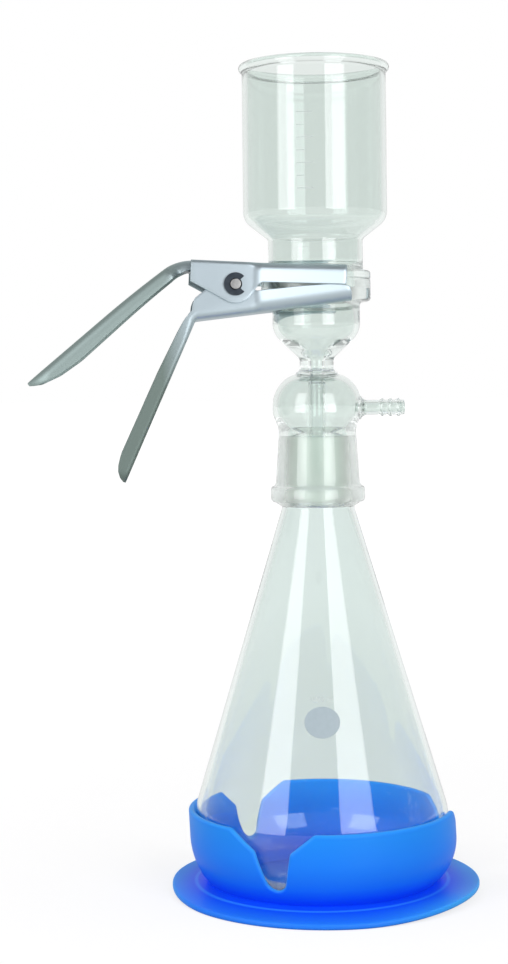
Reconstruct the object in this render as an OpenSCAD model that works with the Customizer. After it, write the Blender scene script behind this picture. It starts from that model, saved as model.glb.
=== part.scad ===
// Vacuum filtration unit: a glass funnel and a glass filter support, clamped flange to flange by a
// spring clamp, on a conical flask with a ground joint that stands in a silicone foot.
// Millimetres, +Z up. The origin is on the glass's axis, level with the foot's underside. The side arm
// points along +X.

/* [Silicone foot] */
// Width of the flat skirt outside the cup
skirt_w = 10.5; // [6:0.5:20]
// Distance of the skirt's middle from the cup's, towards the side arm
skirt_off = 1.8; // [0:0.2:2.4]
// Thickness of the skirt at its edge
skirt_t = 3; // [2:0.5:5]
// Height of the crease where the skirt meets the cup
crease_z = 6.3; // [5:0.1:8]
// Thickness of the floor under the flask
floor_t = 4; // [3:0.5:5]
// Wall of the cup
cup_wall = 3.2; // [2.4:0.1:5]
// Height of the cup's rim
cup_h = 43; // [40:0.2:60]
// Number of finger notches
notch_n = 3; // [2:1:4]
// Direction of the first notch, from +X towards +Y
notch_az = 250; // [0:1:359]
// Width of a notch at the rim
notch_top_w = 45; // [36:1:50]
// Width of a notch at its knee
notch_w = 18.8; // [17:0.2:22]
// Radius of the bottom of a notch
notch_r = 5.6; // [4:0.2:8.4]
// Depth of a notch's chamfer
notch_chamfer_h = 9.7; // [6:0.1:12]
// Height of the bottom of a notch
notch_z = 14.2; // [12:0.2:18]

/* [Flask] */
// Largest outside diameter
flask_d = 131; // [105:1:160]
// Wall of the flask
flask_wall = 2.3; // [1.8:0.1:3]
// Height from the flask's bottom to its ground joint
flask_h = 196; // [160:1:240]
// Radius of the heel
heel_r = 25; // [20:1:28]
// Height of the straight stretch over the heel
heel_h = 10; // [8:1:16]
// Step of the neck outside the joint
neck_step = 1.5; // [1:0.25:3]
// Rise of the bottom's centre
punt_h = 2.5; // [1:0.5:4]

/* [Ground joint] */
// Large end of the 1:10 taper
joint_d = 34.5; // [29:0.5:42]
// Length of the ground zone
joint_l = 35; // [28:1:42]
// Wall of the ground cone
joint_wall = 3; // [2:0.25:3.5]

/* [Filter support] */
// Wall of the socket around the joint
socket_wall = 4.6; // [4:0.2:6]
// Height of the collar over the socket's wall
collar_step = 2.65; // [2:0.05:5]
// Length of the collar
collar_h = 8.6; // [6:0.2:11]
// Bulge of the bulb outside the socket's top
bulb_step = 3.1; // [2:0.1:8]
// Height of the bulb's widest place over the ground zone
bulb_z = 15; // [13:0.2:18]
// Height from the bulb's widest place to the narrow neck
bulb_h = 18.5; // [16:0.5:24]
// Diameter of the narrow neck
waist_d = 17.6; // [14:0.2:19]
// Outside diameter of the bowl
bowl_d = 45.4; // [44:0.2:50]
// Height from the narrow neck to the flange face
bowl_h = 47.4; // [44:0.2:56]
// Wall of the bulb and the bowl
support_wall = 2.5; // [2:0.1:3]
// Outside diameter of the drip tube
tube_d = 8.8; // [7:0.2:10]
// Bore of the drip tube
tube_bore = 6; // [4:0.5:6]
// Length of the drip tube below the narrow neck
tube_l = 54; // [40:1:60]

/* [Side arm] */
// Reach of the side arm from the axis
arm_reach = 45.4; // [42:0.2:60]
// Outside diameter of the side arm
arm_d = 7.6; // [7:0.2:9]
// Bore of the side arm
arm_bore = 5; // [4:0.5:5]
// Outside diameter of the hose ridges
barb_d = 9.4; // [9.2:0.2:11]
// Spacing of the hose ridges
barb_pitch = 4.2; // [4:0.1:5]

/* [Flanges] */
// Outside diameter of both flanges
flange_d = 56.8; // [54:0.2:60]
// Thickness of the support's flange
low_flange_t = 11.5; // [9:0.5:12]
// Thickness of the funnel's flange
top_flange_t = 4.3; // [4:0.1:6]

/* [Sintered disc] */
// Diameter of the sintered disc
frit_d = 40; // [37:0.5:41]
// Thickness of the sintered disc
frit_t = 4.5; // [3.5:0.5:6]

/* [Funnel] */
// Outside diameter of the funnel's body
funnel_d = 74.8; // [66:0.2:90]
// Wall of the funnel
funnel_wall = 2.4; // [2:0.1:3]
// Height from the flange face to the centre of the rim bead
funnel_h = 110; // [90:1:140]
// Outside diameter of the funnel's neck
stem_d = 49.2; // [47:0.2:51]
// Height of the neck over the flange face
stem_h = 19.8; // [19:0.2:26]
// Diameter of the glass in the rim bead
bead_d = 4.6; // [4:0.2:5.4]

/* [Clamp] */
// Sheet thickness
sheet_t = 1.2; // [1:0.1:1.6]
// Distance from the flanges' edge to the pivot
pivot_gap = 14.4; // [14:0.2:22]
// Height of the pivot below the flange faces
pivot_drop = 2.8; // [2:0.1:4]
// Turn of the clamp about the glass axis
clamp_yaw = 5; // [0:1:15]
// Tilt of the upper jaw, tips down
upper_tilt = 3; // [2:0.5:4]
// Tilt of the lower jaw, tips up
lower_tilt = 6.5; // [6:0.5:8]
// Half width over the upper ears
ear_half = 22.4; // [22:0.2:24]
// Room between the arms and the flanges
arm_gap = 1.8; // [1:0.1:3]
// Depth of the upper arms
upper_arm_h = 10; // [8:0.5:10.5]
// Reach of the upper tips past the glass axis
tip_reach = 12; // [10:0.1:15]
// Radius of the upper ear around the pin
ear_r = 9.7; // [8:0.1:10]
// Diameter of the pivot pin
pin_d = 5.6; // [5:0.1:6]
// Outside diameter of the retaining rings
ring_d = 11.8; // [10:0.2:13]
// Wire of the torsion spring
wire_d = 2; // [1.6:0.1:2.2]
// Turns of the torsion spring
spring_turns = 9; // [6:1:11]

/* [Hidden] */

$fn = 96;
steps = 14;              // points in each arc of a turned outline
seat_gap = 0.05;         // between glass faces that rest on each other
fit_gap = 0.3;           // between the flask and its cup
move_gap = 0.35;         // between a moving piece and what it passes
pin_gap = 0.05;          // around the pin, on the radius
taper = 0.1;             // change of diameter along the ground joint

flask_r = flask_d / 2;
flask_z = floor_t + seat_gap;
joint_z = flask_z + flask_h;
joint_top = joint_z + joint_l;
joint_r = joint_d / 2;
joint_tip_r = joint_r - joint_l * taper / 2;
bulb_mid = joint_top + bulb_z;
waist_z = bulb_mid + bulb_h;
waist_h = 5.2;           // height of the narrow neck between its fillets
split_z = waist_z + bowl_h;
cup_in = flask_r + fit_gap;
cup_r = cup_in + cup_wall;
skirt_r = cup_r + skirt_w;
flange_r = flange_d / 2;
low_flange_z = split_z - low_flange_t;
funnel_z = split_z + seat_gap;
top_flange_z = funnel_z + top_flange_t;
rim_z = split_z + funnel_h;

// points of an arc about [x, z]
function arc(c, r, a0, a1) =
    [for (i = [0 : steps]) let (a = a0 + (a1 - a0) * i / steps) c + r * [cos(a), sin(a)]];
// points of an arc of an ellipse with half axes a and b
function oval(c, a, b, a0, a1) =
    [for (i = [0 : steps]) let (t = a0 + (a1 - a0) * i / steps) c + [a * cos(t), b * sin(t)]];
// two arcs and the straight stretch between them, from upright at b, on a bulge of radius r1,
// to upright at h, in a hollow of radius r2; both radii shrink where there is no room for them
function s_curve(b, r1, h, r2) =
    let (d = h - b,
         k = min(1, 0.96 * (d[0] * d[0] + d[1] * d[1]) / (2 * abs(d[0]) * (r1 + r2))),
         c1 = b - [k * r1, 0],
         c2 = h + [k * r2, 0],
         a = atan2(c2[1] - c1[1], c2[0] - c1[0])
             - sign(d[1]) * acos(k * (r1 + r2) / norm(c2 - c1)))
    concat(arc(c1, k * r1, 0, a), arc(c2, k * r2, 180 + a, 180));
// the same outline taken from its other end
function flip(p) = [for (i = [len(p) - 1 : -1 : 0]) p[i]];

module turned(points) { rotate_extrude() polygon(points); }

// ---------------------------------------------------------------- silicone foot
foot_arc_r = 29.7;       // radius of the cup's lower curve
foot_arc_z = 28;         // height where that curve becomes upright
foot_arc_a = -asin((foot_arc_z - crease_z) / foot_arc_r);
heel_arc_a = -asin((heel_r + seat_gap) / (heel_r + fit_gap));   // where the heel's arc meets the floor
rim_round = 0.9;
skirt_round = 1.2;

crease_r = cup_r - foot_arc_r + foot_arc_r * cos(foot_arc_a);
hem_w = 3.3;             // how far the skirt runs on under the cup

module skirt_profile() {
    polygon(concat(
        [[crease_r - hem_w, crease_z], [crease_r - hem_w, 0]],
        arc([skirt_r - skirt_round, skirt_round], skirt_round, -90, 0),
        arc([skirt_r - skirt_round, skirt_t - skirt_round], skirt_round, 0, 80),
        [[crease_r, crease_z]]));
}

module cup_profile() {
    polygon(concat(
        [[0, 0], [crease_r, 0]],
        arc([cup_r - foot_arc_r, foot_arc_z], foot_arc_r, foot_arc_a, 0),
        arc([cup_r - rim_round, cup_h - rim_round], rim_round, 0, 90),
        arc([cup_in + rim_round, cup_h - rim_round], rim_round, 90, 180),
        arc([flask_r - heel_r, flask_z + heel_r], heel_r + fit_gap, 0, heel_arc_a),
        [[0, floor_t]]));
}

// one finger notch, seen along the radius: x across, y up
module notch_outline() {
    knee_z = cup_h - notch_chamfer_h;
    spread = (notch_top_w - notch_w) / 2 / notch_chamfer_h;
    over = 2;
    knee = [notch_w / 2, knee_z - notch_z - notch_r];
    touch = atan2(knee[1], knee[0]) - acos(notch_r / norm(knee));
    polygon(concat(
        arc([0, notch_z + notch_r], notch_r, 180 - touch, 360 + touch),
        [[notch_w / 2, knee_z],
         [notch_top_w / 2 + over * spread, cup_h + over],
         [-notch_top_w / 2 - over * spread, cup_h + over],
         [-notch_w / 2, knee_z]]));
}

module silicone_foot() {
    color([0.15, 0.49, 1])
    difference() {
        union() {
            translate([skirt_off, 0, 0]) rotate_extrude() skirt_profile();
            rotate_extrude() cup_profile();
        }
        for (i = [0 : notch_n - 1])
            rotate([0, 0, notch_az + i * 360 / notch_n])
            translate([flask_r - heel_r + 6, 0, 0])
            rotate([90, 0, 90])
            linear_extrude(skirt_r)
            notch_outline();
    }
}

// ---------------------------------------------------------------- flask
neck_r = joint_r + neck_step;
neck_z = joint_z - 1.6;            // where the neck runs into the cone
neck_fillet = 4;
bore_r = joint_tip_r - joint_wall;
heel_c = [flask_r - heel_r, flask_z + heel_r];
side_z = flask_z + heel_r + heel_h;
lip_round = 1.2;

module flask() {
    w = flask_wall;
    color([0.82, 0.87, 0.85, 0.4])
    turned(concat(
        [[0, flask_z + punt_h]],
        arc(heel_c, heel_r, -90, 0),
        s_curve([flask_r, side_z], heel_r, [neck_r, neck_z], neck_fillet),
        [[joint_r, joint_z]],
        arc([joint_tip_r - lip_round, joint_top - lip_round], lip_round, 0, 90),
        arc([bore_r + lip_round, joint_top - lip_round], lip_round, 90, 180),
        [[bore_r, joint_z + 4]],
        flip(s_curve([flask_r - w, side_z], heel_r - w, [neck_r - w, neck_z], neck_fillet + w)),
        flip(arc(heel_c, heel_r - w, -90, 0)),
        [[0, flask_z + punt_h + w]]));
}

// ---------------------------------------------------------------- filter support
socket_r = joint_tip_r + socket_wall;          // at the top of the joint
mouth_z = joint_z - 1.3;
collar_z = mouth_z + 2;
collar_r = joint_r + socket_wall + collar_step;
collar_round = 2.2;
waist_r = waist_d / 2;
tube_r = tube_d / 2;
bore_half = tube_bore / 2;
tube_end = waist_z - tube_l;
bulb_r = socket_r + bulb_step;
bulb_half = bulb_r - waist_r + 0.6;      // half axes of the oval over the bulb
bulb_top = bulb_h - 1.2;
waist_fillet = 2.6;
bowl_r = bowl_d / 2;
bowl_z = low_flange_z - 11;
bowl_arc = 12;
bowl_foot = 3;
flange_round = 2;
frit_r = frit_d / 2;
frit_z = split_z - frit_t;

// outside of the socket and the bulb, from the mouth up to the narrow neck
function socket_outside() = concat(
    [[joint_r + 2.2, mouth_z]],
    arc([collar_r - collar_round, collar_z + collar_round], collar_round, -90, 0),
    arc([collar_r - collar_round, collar_z + collar_h - collar_round], collar_round, 0, 80),
    [[joint_r + socket_wall, collar_z + collar_h + 1.4]],
    flip(s_curve([bulb_r, bulb_mid - 2], 8, [socket_r, joint_top + 1.5], 12)),
    oval([bulb_r - bulb_half, bulb_mid], bulb_half, bulb_top, 0, 80),
    arc([waist_r + waist_fillet, waist_z + 1.9], waist_fillet, 258, 180));

// outside of the bowl, from the narrow neck up to the flange
function bowl_outside() = concat(
    flip(s_curve([bowl_r, bowl_z], bowl_arc, [waist_r, waist_z + waist_h], bowl_foot)),
    arc([bowl_r + 2.5, low_flange_z - 2.5], 2.5, 180, 90),
    arc([flange_r - flange_round, low_flange_z + flange_round], flange_round, -90, 0),
    arc([flange_r - 0.5, split_z - 0.5], 0.5, 0, 90));

// inside of the bowl and the drip tube, from the sintered disc down to the tip
function bowl_inside() = let (w = support_wall) concat(
    [[frit_r + seat_gap, split_z],
     [frit_r + seat_gap, frit_z - seat_gap],
     [frit_r - 1.6, frit_z - seat_gap],
     [frit_r - 1.6, frit_z - 3]],
    s_curve([bowl_r - w, bowl_z], bowl_arc - w, [bore_half, waist_z + waist_h], bowl_foot + w),
    [[bore_half, tube_end], [tube_r, tube_end + 1]]);

// inside of the bulb and the socket, from the drip tube down to the mouth
function socket_inside() = let (w = support_wall) concat(
    [[tube_r, waist_z - 4.5]],
    flip(oval([bulb_r - bulb_half, bulb_mid], bulb_half - w, bulb_top - w, 0, 84)),
    s_curve([bulb_r - w, bulb_mid - 2], 8 - w, [joint_tip_r + seat_gap, joint_top + 1], 7),
    [[joint_tip_r + seat_gap, joint_top],
     [joint_r + seat_gap, joint_z],
     [joint_r + 1.6, mouth_z]]);

arm_z = bulb_mid - 0.6;
arm_r = arm_d / 2;
arm_start = bulb_r - support_wall + 0.5;
weld_r = 6.2;
weld_round = 4;
barb_r = barb_d / 2;
barb_tip = 2.4;                  // plain tip past the last ridge

// side arm along +Z, with its weld at the bulb, three ridges and a rounded tip
module side_arm() {
    ridge = [for (i = [2 : -1 : 0]) arm_reach - barb_tip - 2.6 - i * barb_pitch];
    turned(concat(
        [[0, arm_start], [weld_r, arm_start], [weld_r, bulb_r - 0.4]],
        flip(arc([arm_r + weld_round, bulb_r + weld_round - 1], weld_round, 180, 235)),
        [for (z = ridge) each [[arm_r, z], [barb_r, z + 1.8], [barb_r, z + 2.2], [arm_r, z + 2.6]]],
        arc([arm_r - 1, arm_reach - 1], 1, 0, 90),
        [[0, arm_reach]]));
}

module filter_support() {
    color([0.8, 0.86, 0.83, 0.5])
    difference() {
        union() {
            turned(concat(socket_outside(), bowl_outside(), bowl_inside(), socket_inside()));
            translate([0, 0, arm_z]) rotate([0, 90, 0]) side_arm();
        }
        translate([bulb_r - support_wall - 2, 0, arm_z])
        rotate([0, 90, 0])
        cylinder(d = arm_bore, h = arm_reach);
    }
}

module sintered_disc() {
    color([0.93, 0.94, 0.92])
    translate([0, 0, frit_z])
    cylinder(r = frit_r, h = frit_t - seat_gap);
}

// ---------------------------------------------------------------- funnel
funnel_r = funnel_d / 2;
stem_r = stem_d / 2;
stem_z = split_z + stem_h;
shoulder_z = stem_z + 15.6;
shoulder_r = 9;                  // bulging arc under the body
stem_fillet = 2.5;               // hollow arc into the neck
mouth_r = frit_r + 0.2;          // bore at the flange face
bead_r = bead_d / 2;
bead_x = funnel_r - 0.5;

module funnel() {
    w = funnel_wall;
    color([0.82, 0.87, 0.84, 0.4])
    turned(concat(
        [[mouth_r, funnel_z]],
        arc([flange_r - 0.5, funnel_z + 0.5], 0.5, -90, 0),
        arc([flange_r - 1, top_flange_z - 1], 1, 0, 90),
        arc([stem_r + 0.6, top_flange_z + 0.6], 0.6, 270, 180),
        flip(s_curve([funnel_r, shoulder_z], shoulder_r, [stem_r, stem_z], stem_fillet)),
        arc([bead_x, rim_z], bead_r, -75, 210),
        s_curve([funnel_r - w, shoulder_z], shoulder_r - w, [stem_r - w, stem_z], stem_fillet + w),
        [[stem_r - w, top_flange_z + 4], [mouth_r, top_flange_z]]));
}

// ---------------------------------------------------------------- clamp
// Both jaws are drawn flat, with the origin on the pivot, +X towards the tips and +Z up.
pivot_z = split_z - pivot_drop;
pivot_l = flange_r + pivot_gap;
cut_r = stem_r + 0.9;            // U-shaped cut around the glass
up_tip_x = pivot_l + tip_reach;
low_tip_x = up_tip_x + 1.6;
// where the arms press on the flanges, beyond the U-shaped cut
up_press_x = min(up_tip_x, pivot_l + sqrt(pow(flange_r, 2) - pow(cut_r, 2)));
low_press_x = min(low_tip_x, pivot_l + sqrt(pow(flange_r - 0.75 * flange_round, 2) - pow(cut_r, 2)));
web_up = (top_flange_z + move_gap - pivot_z) * cos(upper_tilt) + up_press_x * sin(upper_tilt) + sheet_t;
web_low = (pivot_z - low_flange_z + seat_gap) * cos(lower_tilt)
    + low_press_x * sin(lower_tilt) + sheet_t;
ear_x = -23;                     // free edge of the ears
flare_x = 10.5;                  // where the arms start to flare
low_ear_half = ear_half - sheet_t - move_gap;
low_ear_r = 8.5;
// flare that keeps the lower arms clear of the flanges
flare_side = [low_ear_half - sheet_t, pivot_l - flare_x];
arm_flare = atan2(flare_side[1], flare_side[0]) - acos((flange_r + arm_gap) / norm(flare_side));
grip_half = 19.6;                // half width of the grips
far = 300;

module clamp_frame() {
    rotate([0, 0, clamp_yaw]) translate([-pivot_l, 0, pivot_z]) children();
}

// a side outline, drawn as x and z, across half width w
module across(w) { translate([0, w, 0]) rotate([90, 0, 0]) linear_extrude(2 * w) children(); }

// a plan outline through the whole height
module upright() { translate([0, 0, -far / 2]) linear_extrude(far) children(); }

// plan of a jaw of half width h at its ears; inset draws the room between its walls
module jaw_plan(h, tip, inset) {
    s = h - inset;
    end = tip + inset;
    w = h + (end - flare_x) * tan(arm_flare) - inset / cos(arm_flare);
    back = ear_x - 2 - inset;
    polygon([[back, -s], [flare_x, -s], [end, -w], [end, w], [flare_x, s], [back, s]]);
}

// U-shaped cut around the glass, open at the tips
module neck_cut() {
    translate([pivot_l, 0, -far / 2]) cylinder(r = cut_r, h = far);
    translate([pivot_l, -cut_r, -far / 2]) cube([far, 2 * cut_r, far]);
}

module pin_hole() { across(far / 2) circle(d = pin_d + 2 * pin_gap); }

// ---- upper jaw
kink_r = 22;                     // short bend behind the ears
kink_a = 39.25;
sweep_r = 600;                   // long bend of the handle
grip_a = 43.05;                  // fall of the grip
up_reach = 103.9;                // from the pivot to the handle's tip
kink_c = [ear_x + 0.9, web_up - kink_r];
sweep_c = kink_c + (kink_r - sweep_r) * [-sin(kink_a), cos(kink_a)];
sweep_end = sweep_c + sweep_r * [-sin(grip_a), cos(grip_a)];
grip_dir = [-cos(grip_a), -sin(grip_a)];
grip_in = [sin(grip_a), -cos(grip_a)];
grip_l = (up_reach + sweep_end[0]) / cos(grip_a);
neck_x = ear_x + 5;              // start of the handle's narrow neck, between the ears

module upper_arm_side() {
    low = web_up - upper_arm_h;
    polygon(concat(
        [[ear_x, web_up], [ear_x, 0.5]],
        arc([0, 0], ear_r, 237, 338),
        arc([ear_r + 5, low - 4], 4, 160, 90),
        [[up_tip_x, low], [up_tip_x, web_up]]));
}

// side outline of the upper handle; inset and deep draw the inside of its trough
module upper_grip_side(inset, deep) {
    tip = sweep_end + (grip_l - inset) * grip_dir;
    mid = sweep_end + (8.1 + deep) * grip_in;
    bend = kink_c + (kink_r - 6.6 - deep) * [-sin(kink_a), cos(kink_a)];
    root = kink_c + (kink_r - 5 - deep) * [-sin(8), cos(8)];
    polygon(concat(
        [[neck_x, web_up - inset]],
        arc(kink_c, kink_r - inset, 90, 90 + kink_a),
        arc(sweep_c, sweep_r - inset, 90 + kink_a, 90 + grip_a),
        [tip + inset * grip_in,
         tip + (1.6 + deep) * grip_in,
         tip - 4.5 * grip_dir + (4.7 + deep) * grip_in,
         tip - 15 * grip_dir + (7.4 + deep) * grip_in,
         tip - 30 * grip_dir + (8.8 + deep) * grip_in,
         mid,
         bend,
         root,
         [neck_x, root[1]]]));
}

module upper_grip_plan(inset) {
    w = grip_half - inset;
    n = w - 4.5;
    end = inset - up_reach;
    start = neck_x + inset;
    polygon([[start, -n], [ear_x - 8, -n], [ear_x - 13, -w],
             [end + 12, -w], [end + 4, 4 - w], [end, 12 - w],
             [end, w - 12], [end + 4, w - 4], [end + 12, w],
             [ear_x - 13, w], [ear_x - 8, n], [start, n]]);
}

module upper_jaw() {
    color([0.87, 0.9, 0.93])
    clamp_frame()
    rotate([0, upper_tilt, 0])
    difference() {
        union() {
            difference() {
                intersection() {
                    across(far / 2) upper_arm_side();
                    upright() jaw_plan(ear_half, up_tip_x, 0);
                }
                translate([0, 0, web_up - sheet_t - far])
                linear_extrude(far)
                jaw_plan(ear_half, up_tip_x, sheet_t);
                neck_cut();
            }
            difference() {
                intersection() {
                    across(far / 2) upper_grip_side(0, 0);
                    upright() upper_grip_plan(0);
                }
                intersection() {
                    across(far / 2) upper_grip_side(sheet_t, 20);
                    upright() upper_grip_plan(sheet_t);
                }
            }
        }
        pin_hole();
    }
}

// ---- lower jaw
low_bend_r = 2.5;                // inside of the bend between the jaw and its handle
low_grip_a = 59.55;              // fall of the grip
low_grip_l = 88.8;
low_grip_d = 7.9;                // depth of the trough
low_bend_c = [ear_x + 2.3, -web_low - low_bend_r];
low_dir = [-cos(low_grip_a), -sin(low_grip_a)];
low_in = [-sin(low_grip_a), cos(low_grip_a)];

// side outline of the lower jaw's walls along its arms and ears
module lower_arm_side() {
    polygon(concat(
        [[low_bend_c[0], -web_low], [ear_x - 0.4, -11.8], [ear_x - 0.3, -9.4],
         [ear_x + 0.4, -6.8], [ear_x + 1.8, -4.4]],
        arc([0, 0], low_ear_r, 150, -20),
        [[flare_x, -4.6], [pivot_l - 9.4, -5.3], [pivot_l + 4.6, -6.2]],
        arc([low_tip_x - 3, -10.5], 3, 85, 0),
        [[low_tip_x, -web_low]]));
}

// side outline of the lower handle; inset and deep draw the inside of its trough
module lower_grip_side(inset, deep) {
    start = low_bend_c + low_bend_r * low_in;
    end = start + (low_grip_l - inset) * low_dir;
    polygon(concat(
        [[ear_x + 5, -web_low + inset]],
        arc(low_bend_c, low_bend_r + inset, 90, 90 + low_grip_a),
        [end + inset * low_in,
         end + (1.8 + deep) * low_in,
         end - 1.6 * low_dir + (3.8 + deep) * low_in,
         end - 4 * low_dir + (5.8 + deep) * low_in,
         end - 7 * low_dir + (7 + deep) * low_in,
         end - 12 * low_dir + (low_grip_d + deep) * low_in,
         start + 30 * low_dir + (low_grip_d - 0.6 + deep) * low_in,
         start + 6 * low_dir + (low_grip_d - 1.8 + deep) * low_in,
         [ear_x - 3.2, -12.9 + deep],
         [ear_x - 0.4, -10.4 + deep],
         [ear_x + 5, -10.4 + deep]]));
}

module lower_grip_plan(inset) {
    w = low_ear_half - inset;
    end = low_bend_c[0] - low_grip_l * cos(low_grip_a) - low_bend_r + inset;
    polygon([[ear_x + 5 + inset, -w], [end + 3, -w], [end + 0.8, 2.2 - w], [end, 6 - w],
             [end, w - 6], [end + 0.8, w - 2.2], [end + 3, w], [ear_x + 5 + inset, w]]);
}

module lower_jaw() {
    color([0.85, 0.88, 0.9])
    clamp_frame()
    rotate([0, -lower_tilt, 0])
    difference() {
        union() {
            intersection() {
                across(far / 2) lower_arm_side();
                upright() jaw_plan(low_ear_half, low_tip_x, 0);
            }
            intersection() {
                across(far / 2) lower_grip_side(0, 0);
                upright() lower_grip_plan(0);
            }
        }
        translate([0, 0, sheet_t - web_low])
        linear_extrude(far)
        jaw_plan(low_ear_half, low_tip_x, sheet_t);
        intersection() {
            across(far / 2) lower_grip_side(sheet_t, 20);
            upright() lower_grip_plan(sheet_t);
        }
        neck_cut();
        pin_hole();
    }
}

// ---- pin and its retaining rings
ring_t = 1;
ring_gap = 0.2;                  // between a ring and the ear
ring_y = ear_half + ring_gap;
groove_r = pin_d / 2 - 0.7;
ring_in = pin_d / 2 + 0.2;       // inner edge of a ring, between its prongs
pin_end = ring_y + ring_t + 1.4;

module pivot_pin() {
    color([0.69, 0.69, 0.68])
    clamp_frame()
    rotate([90, 0, 0])
    rotate_extrude($fn = 48)
    polygon([[0, -pin_end], [pin_d / 2 - 0.5, -pin_end], [pin_d / 2, 0.5 - pin_end],
             [pin_d / 2, -ring_y - ring_t - 0.05], [groove_r, -ring_y - ring_t - 0.05],
             [groove_r, 0.05 - ring_y], [pin_d / 2, 0.05 - ring_y],
             [pin_d / 2, ring_y - 0.05], [groove_r, ring_y - 0.05],
             [groove_r, ring_y + ring_t + 0.05], [pin_d / 2, ring_y + ring_t + 0.05],
             [pin_d / 2, pin_end - 0.5], [pin_d / 2 - 0.5, pin_end], [0, pin_end]]);
}

// open ring with three prongs in the pin's groove; its mouth faces the tips
module ring_plan() {
    mouth = 42;              // half angle of the mouth
    difference() {
        circle(d = ring_d);
        circle(r = ring_in);
        polygon([[0, 0], ring_d * [cos(mouth), sin(mouth)], ring_d * [cos(mouth), -sin(mouth)]]);
    }
    for (a = [180, 72, -72])
        rotate(a)
        difference() {
            translate([0, -1.1]) square([ring_in + 0.6, 2.2]);
            circle(r = groove_r + seat_gap);
        }
}

// side is -1 for the front and 1 for the rear
module retaining_ring(side) {
    color([0.2, 0.23, 0.27])
    clamp_frame()
    translate([0, side * (ring_y + ring_t / 2) + ring_t / 2, 0])
    rotate([90, 0, 0])
    linear_extrude(ring_t)
    ring_plan($fn = 48);
}
module front_ring() { retaining_ring(-1); }
module rear_ring() { retaining_ring(1); }

// ---- torsion spring: a coil round the pin and two straight legs, one under each handle
wire_r = wire_d / 2;
wire_gap = 0.15;
coil_r = pin_d / 2 + wire_r + 0.8;
coil_pitch = wire_d + 0.1;
leg_over = 4;                    // run of the lower leg past its rest

// a point of a jaw's flat side outline after the jaw is tilted by a
function tilted(p, a) = [p[0] * cos(a) + p[1] * sin(a), p[1] * cos(a) - p[0] * sin(a)];
function heading(p) = atan2(p[1], p[0]);

// upper leg: from the coil's top to the underside of the upper handle
up_rest = tilted(kink_c + (kink_r - sheet_t - wire_r - wire_gap) * [-sin(24), cos(24)], upper_tilt);
up_leg_a = heading(up_rest) + asin(coil_r / norm(up_rest));
up_leg_l = sqrt(pow(norm(up_rest), 2) - pow(coil_r, 2));
// lower leg: from the coil's underside over the bend of the lower handle
low_rest = tilted(low_bend_c, -lower_tilt);
low_rest_r = low_bend_r + sheet_t + wire_r + wire_gap;
low_leg_a = heading(low_rest) + 270 + acos((coil_r + low_rest_r) / norm(low_rest));
low_leg_l = low_rest * [cos(low_leg_a), sin(low_leg_a)] + leg_over;

// the wire: [across, x, z, direction of its outer side] along the lower leg, the coil and the upper leg
coil_a0 = low_leg_a + 90 - 360;
coil_a1 = up_leg_a - 90 + 360 * spring_turns;
coil_n = 20 * spring_turns;
function coil_at(i) =
    let (a = coil_a0 + (coil_a1 - coil_a0) * i / coil_n,
         y = (i / coil_n - 0.5) * coil_pitch * (coil_a1 - coil_a0) / 360)
    [y, coil_r * cos(a), coil_r * sin(a), a];
wire = concat(
    [coil_at(0) + low_leg_l * [0, cos(low_leg_a), sin(low_leg_a), 0]],
    [for (i = [0 : coil_n]) coil_at(i)],
    [coil_at(coil_n) + up_leg_l * [0, cos(up_leg_a), sin(up_leg_a), 0]]);

module torsion_spring() {
    sides = 8;
    n = len(wire);
    points = [for (p = wire) for (j = [0 : sides - 1])
        let (b = 360 * j / sides, r = wire_r * cos(b))
        [p[1] + r * cos(p[3]), p[0] + wire_r * sin(b), p[2] + r * sin(p[3])]];
    faces = concat(
        [[for (j = [0 : sides - 1]) j]],
        [for (i = [0 : n - 2]) for (j = [0 : sides - 1])
            let (k = (j + 1) % sides)
            [i * sides + k, i * sides + j, (i + 1) * sides + j, (i + 1) * sides + k]],
        [[for (j = [sides - 1 : -1 : 0]) (n - 1) * sides + j]]);
    color([0.6, 0.62, 0.63])
    clamp_frame()
    polyhedron(points, faces);
}

silicone_foot();
flask();
filter_support();
sintered_disc();
funnel();
upper_jaw();
lower_jaw();
pivot_pin();
torsion_spring();
front_ring();
rear_ring();
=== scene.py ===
import bpy
import bmesh
import math
import numpy as np
from mathutils import Matrix, Vector


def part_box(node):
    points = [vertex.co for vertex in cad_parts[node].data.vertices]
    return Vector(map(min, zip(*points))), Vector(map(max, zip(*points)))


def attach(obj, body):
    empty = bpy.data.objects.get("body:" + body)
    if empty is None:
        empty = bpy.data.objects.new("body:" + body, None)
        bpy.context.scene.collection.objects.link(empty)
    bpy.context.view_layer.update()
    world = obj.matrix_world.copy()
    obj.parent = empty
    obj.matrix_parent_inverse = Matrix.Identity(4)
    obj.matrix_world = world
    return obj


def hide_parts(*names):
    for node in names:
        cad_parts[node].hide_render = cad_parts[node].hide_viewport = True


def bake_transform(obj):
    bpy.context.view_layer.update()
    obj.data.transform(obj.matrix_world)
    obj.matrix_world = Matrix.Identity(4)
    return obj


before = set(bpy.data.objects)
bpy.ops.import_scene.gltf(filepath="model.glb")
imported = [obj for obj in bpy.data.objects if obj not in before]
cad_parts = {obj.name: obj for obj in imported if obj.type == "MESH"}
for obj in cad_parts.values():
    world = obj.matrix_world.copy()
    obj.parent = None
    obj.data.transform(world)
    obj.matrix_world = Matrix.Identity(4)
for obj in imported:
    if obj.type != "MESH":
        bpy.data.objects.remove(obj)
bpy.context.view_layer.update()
mm = 0.001  # the sizes in the dictionaries are millimetres


def addObject(name, data):
    made = bpy.data.objects.new(name, data)
    bpy.context.scene.collection.objects.link(made)
    return made


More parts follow.
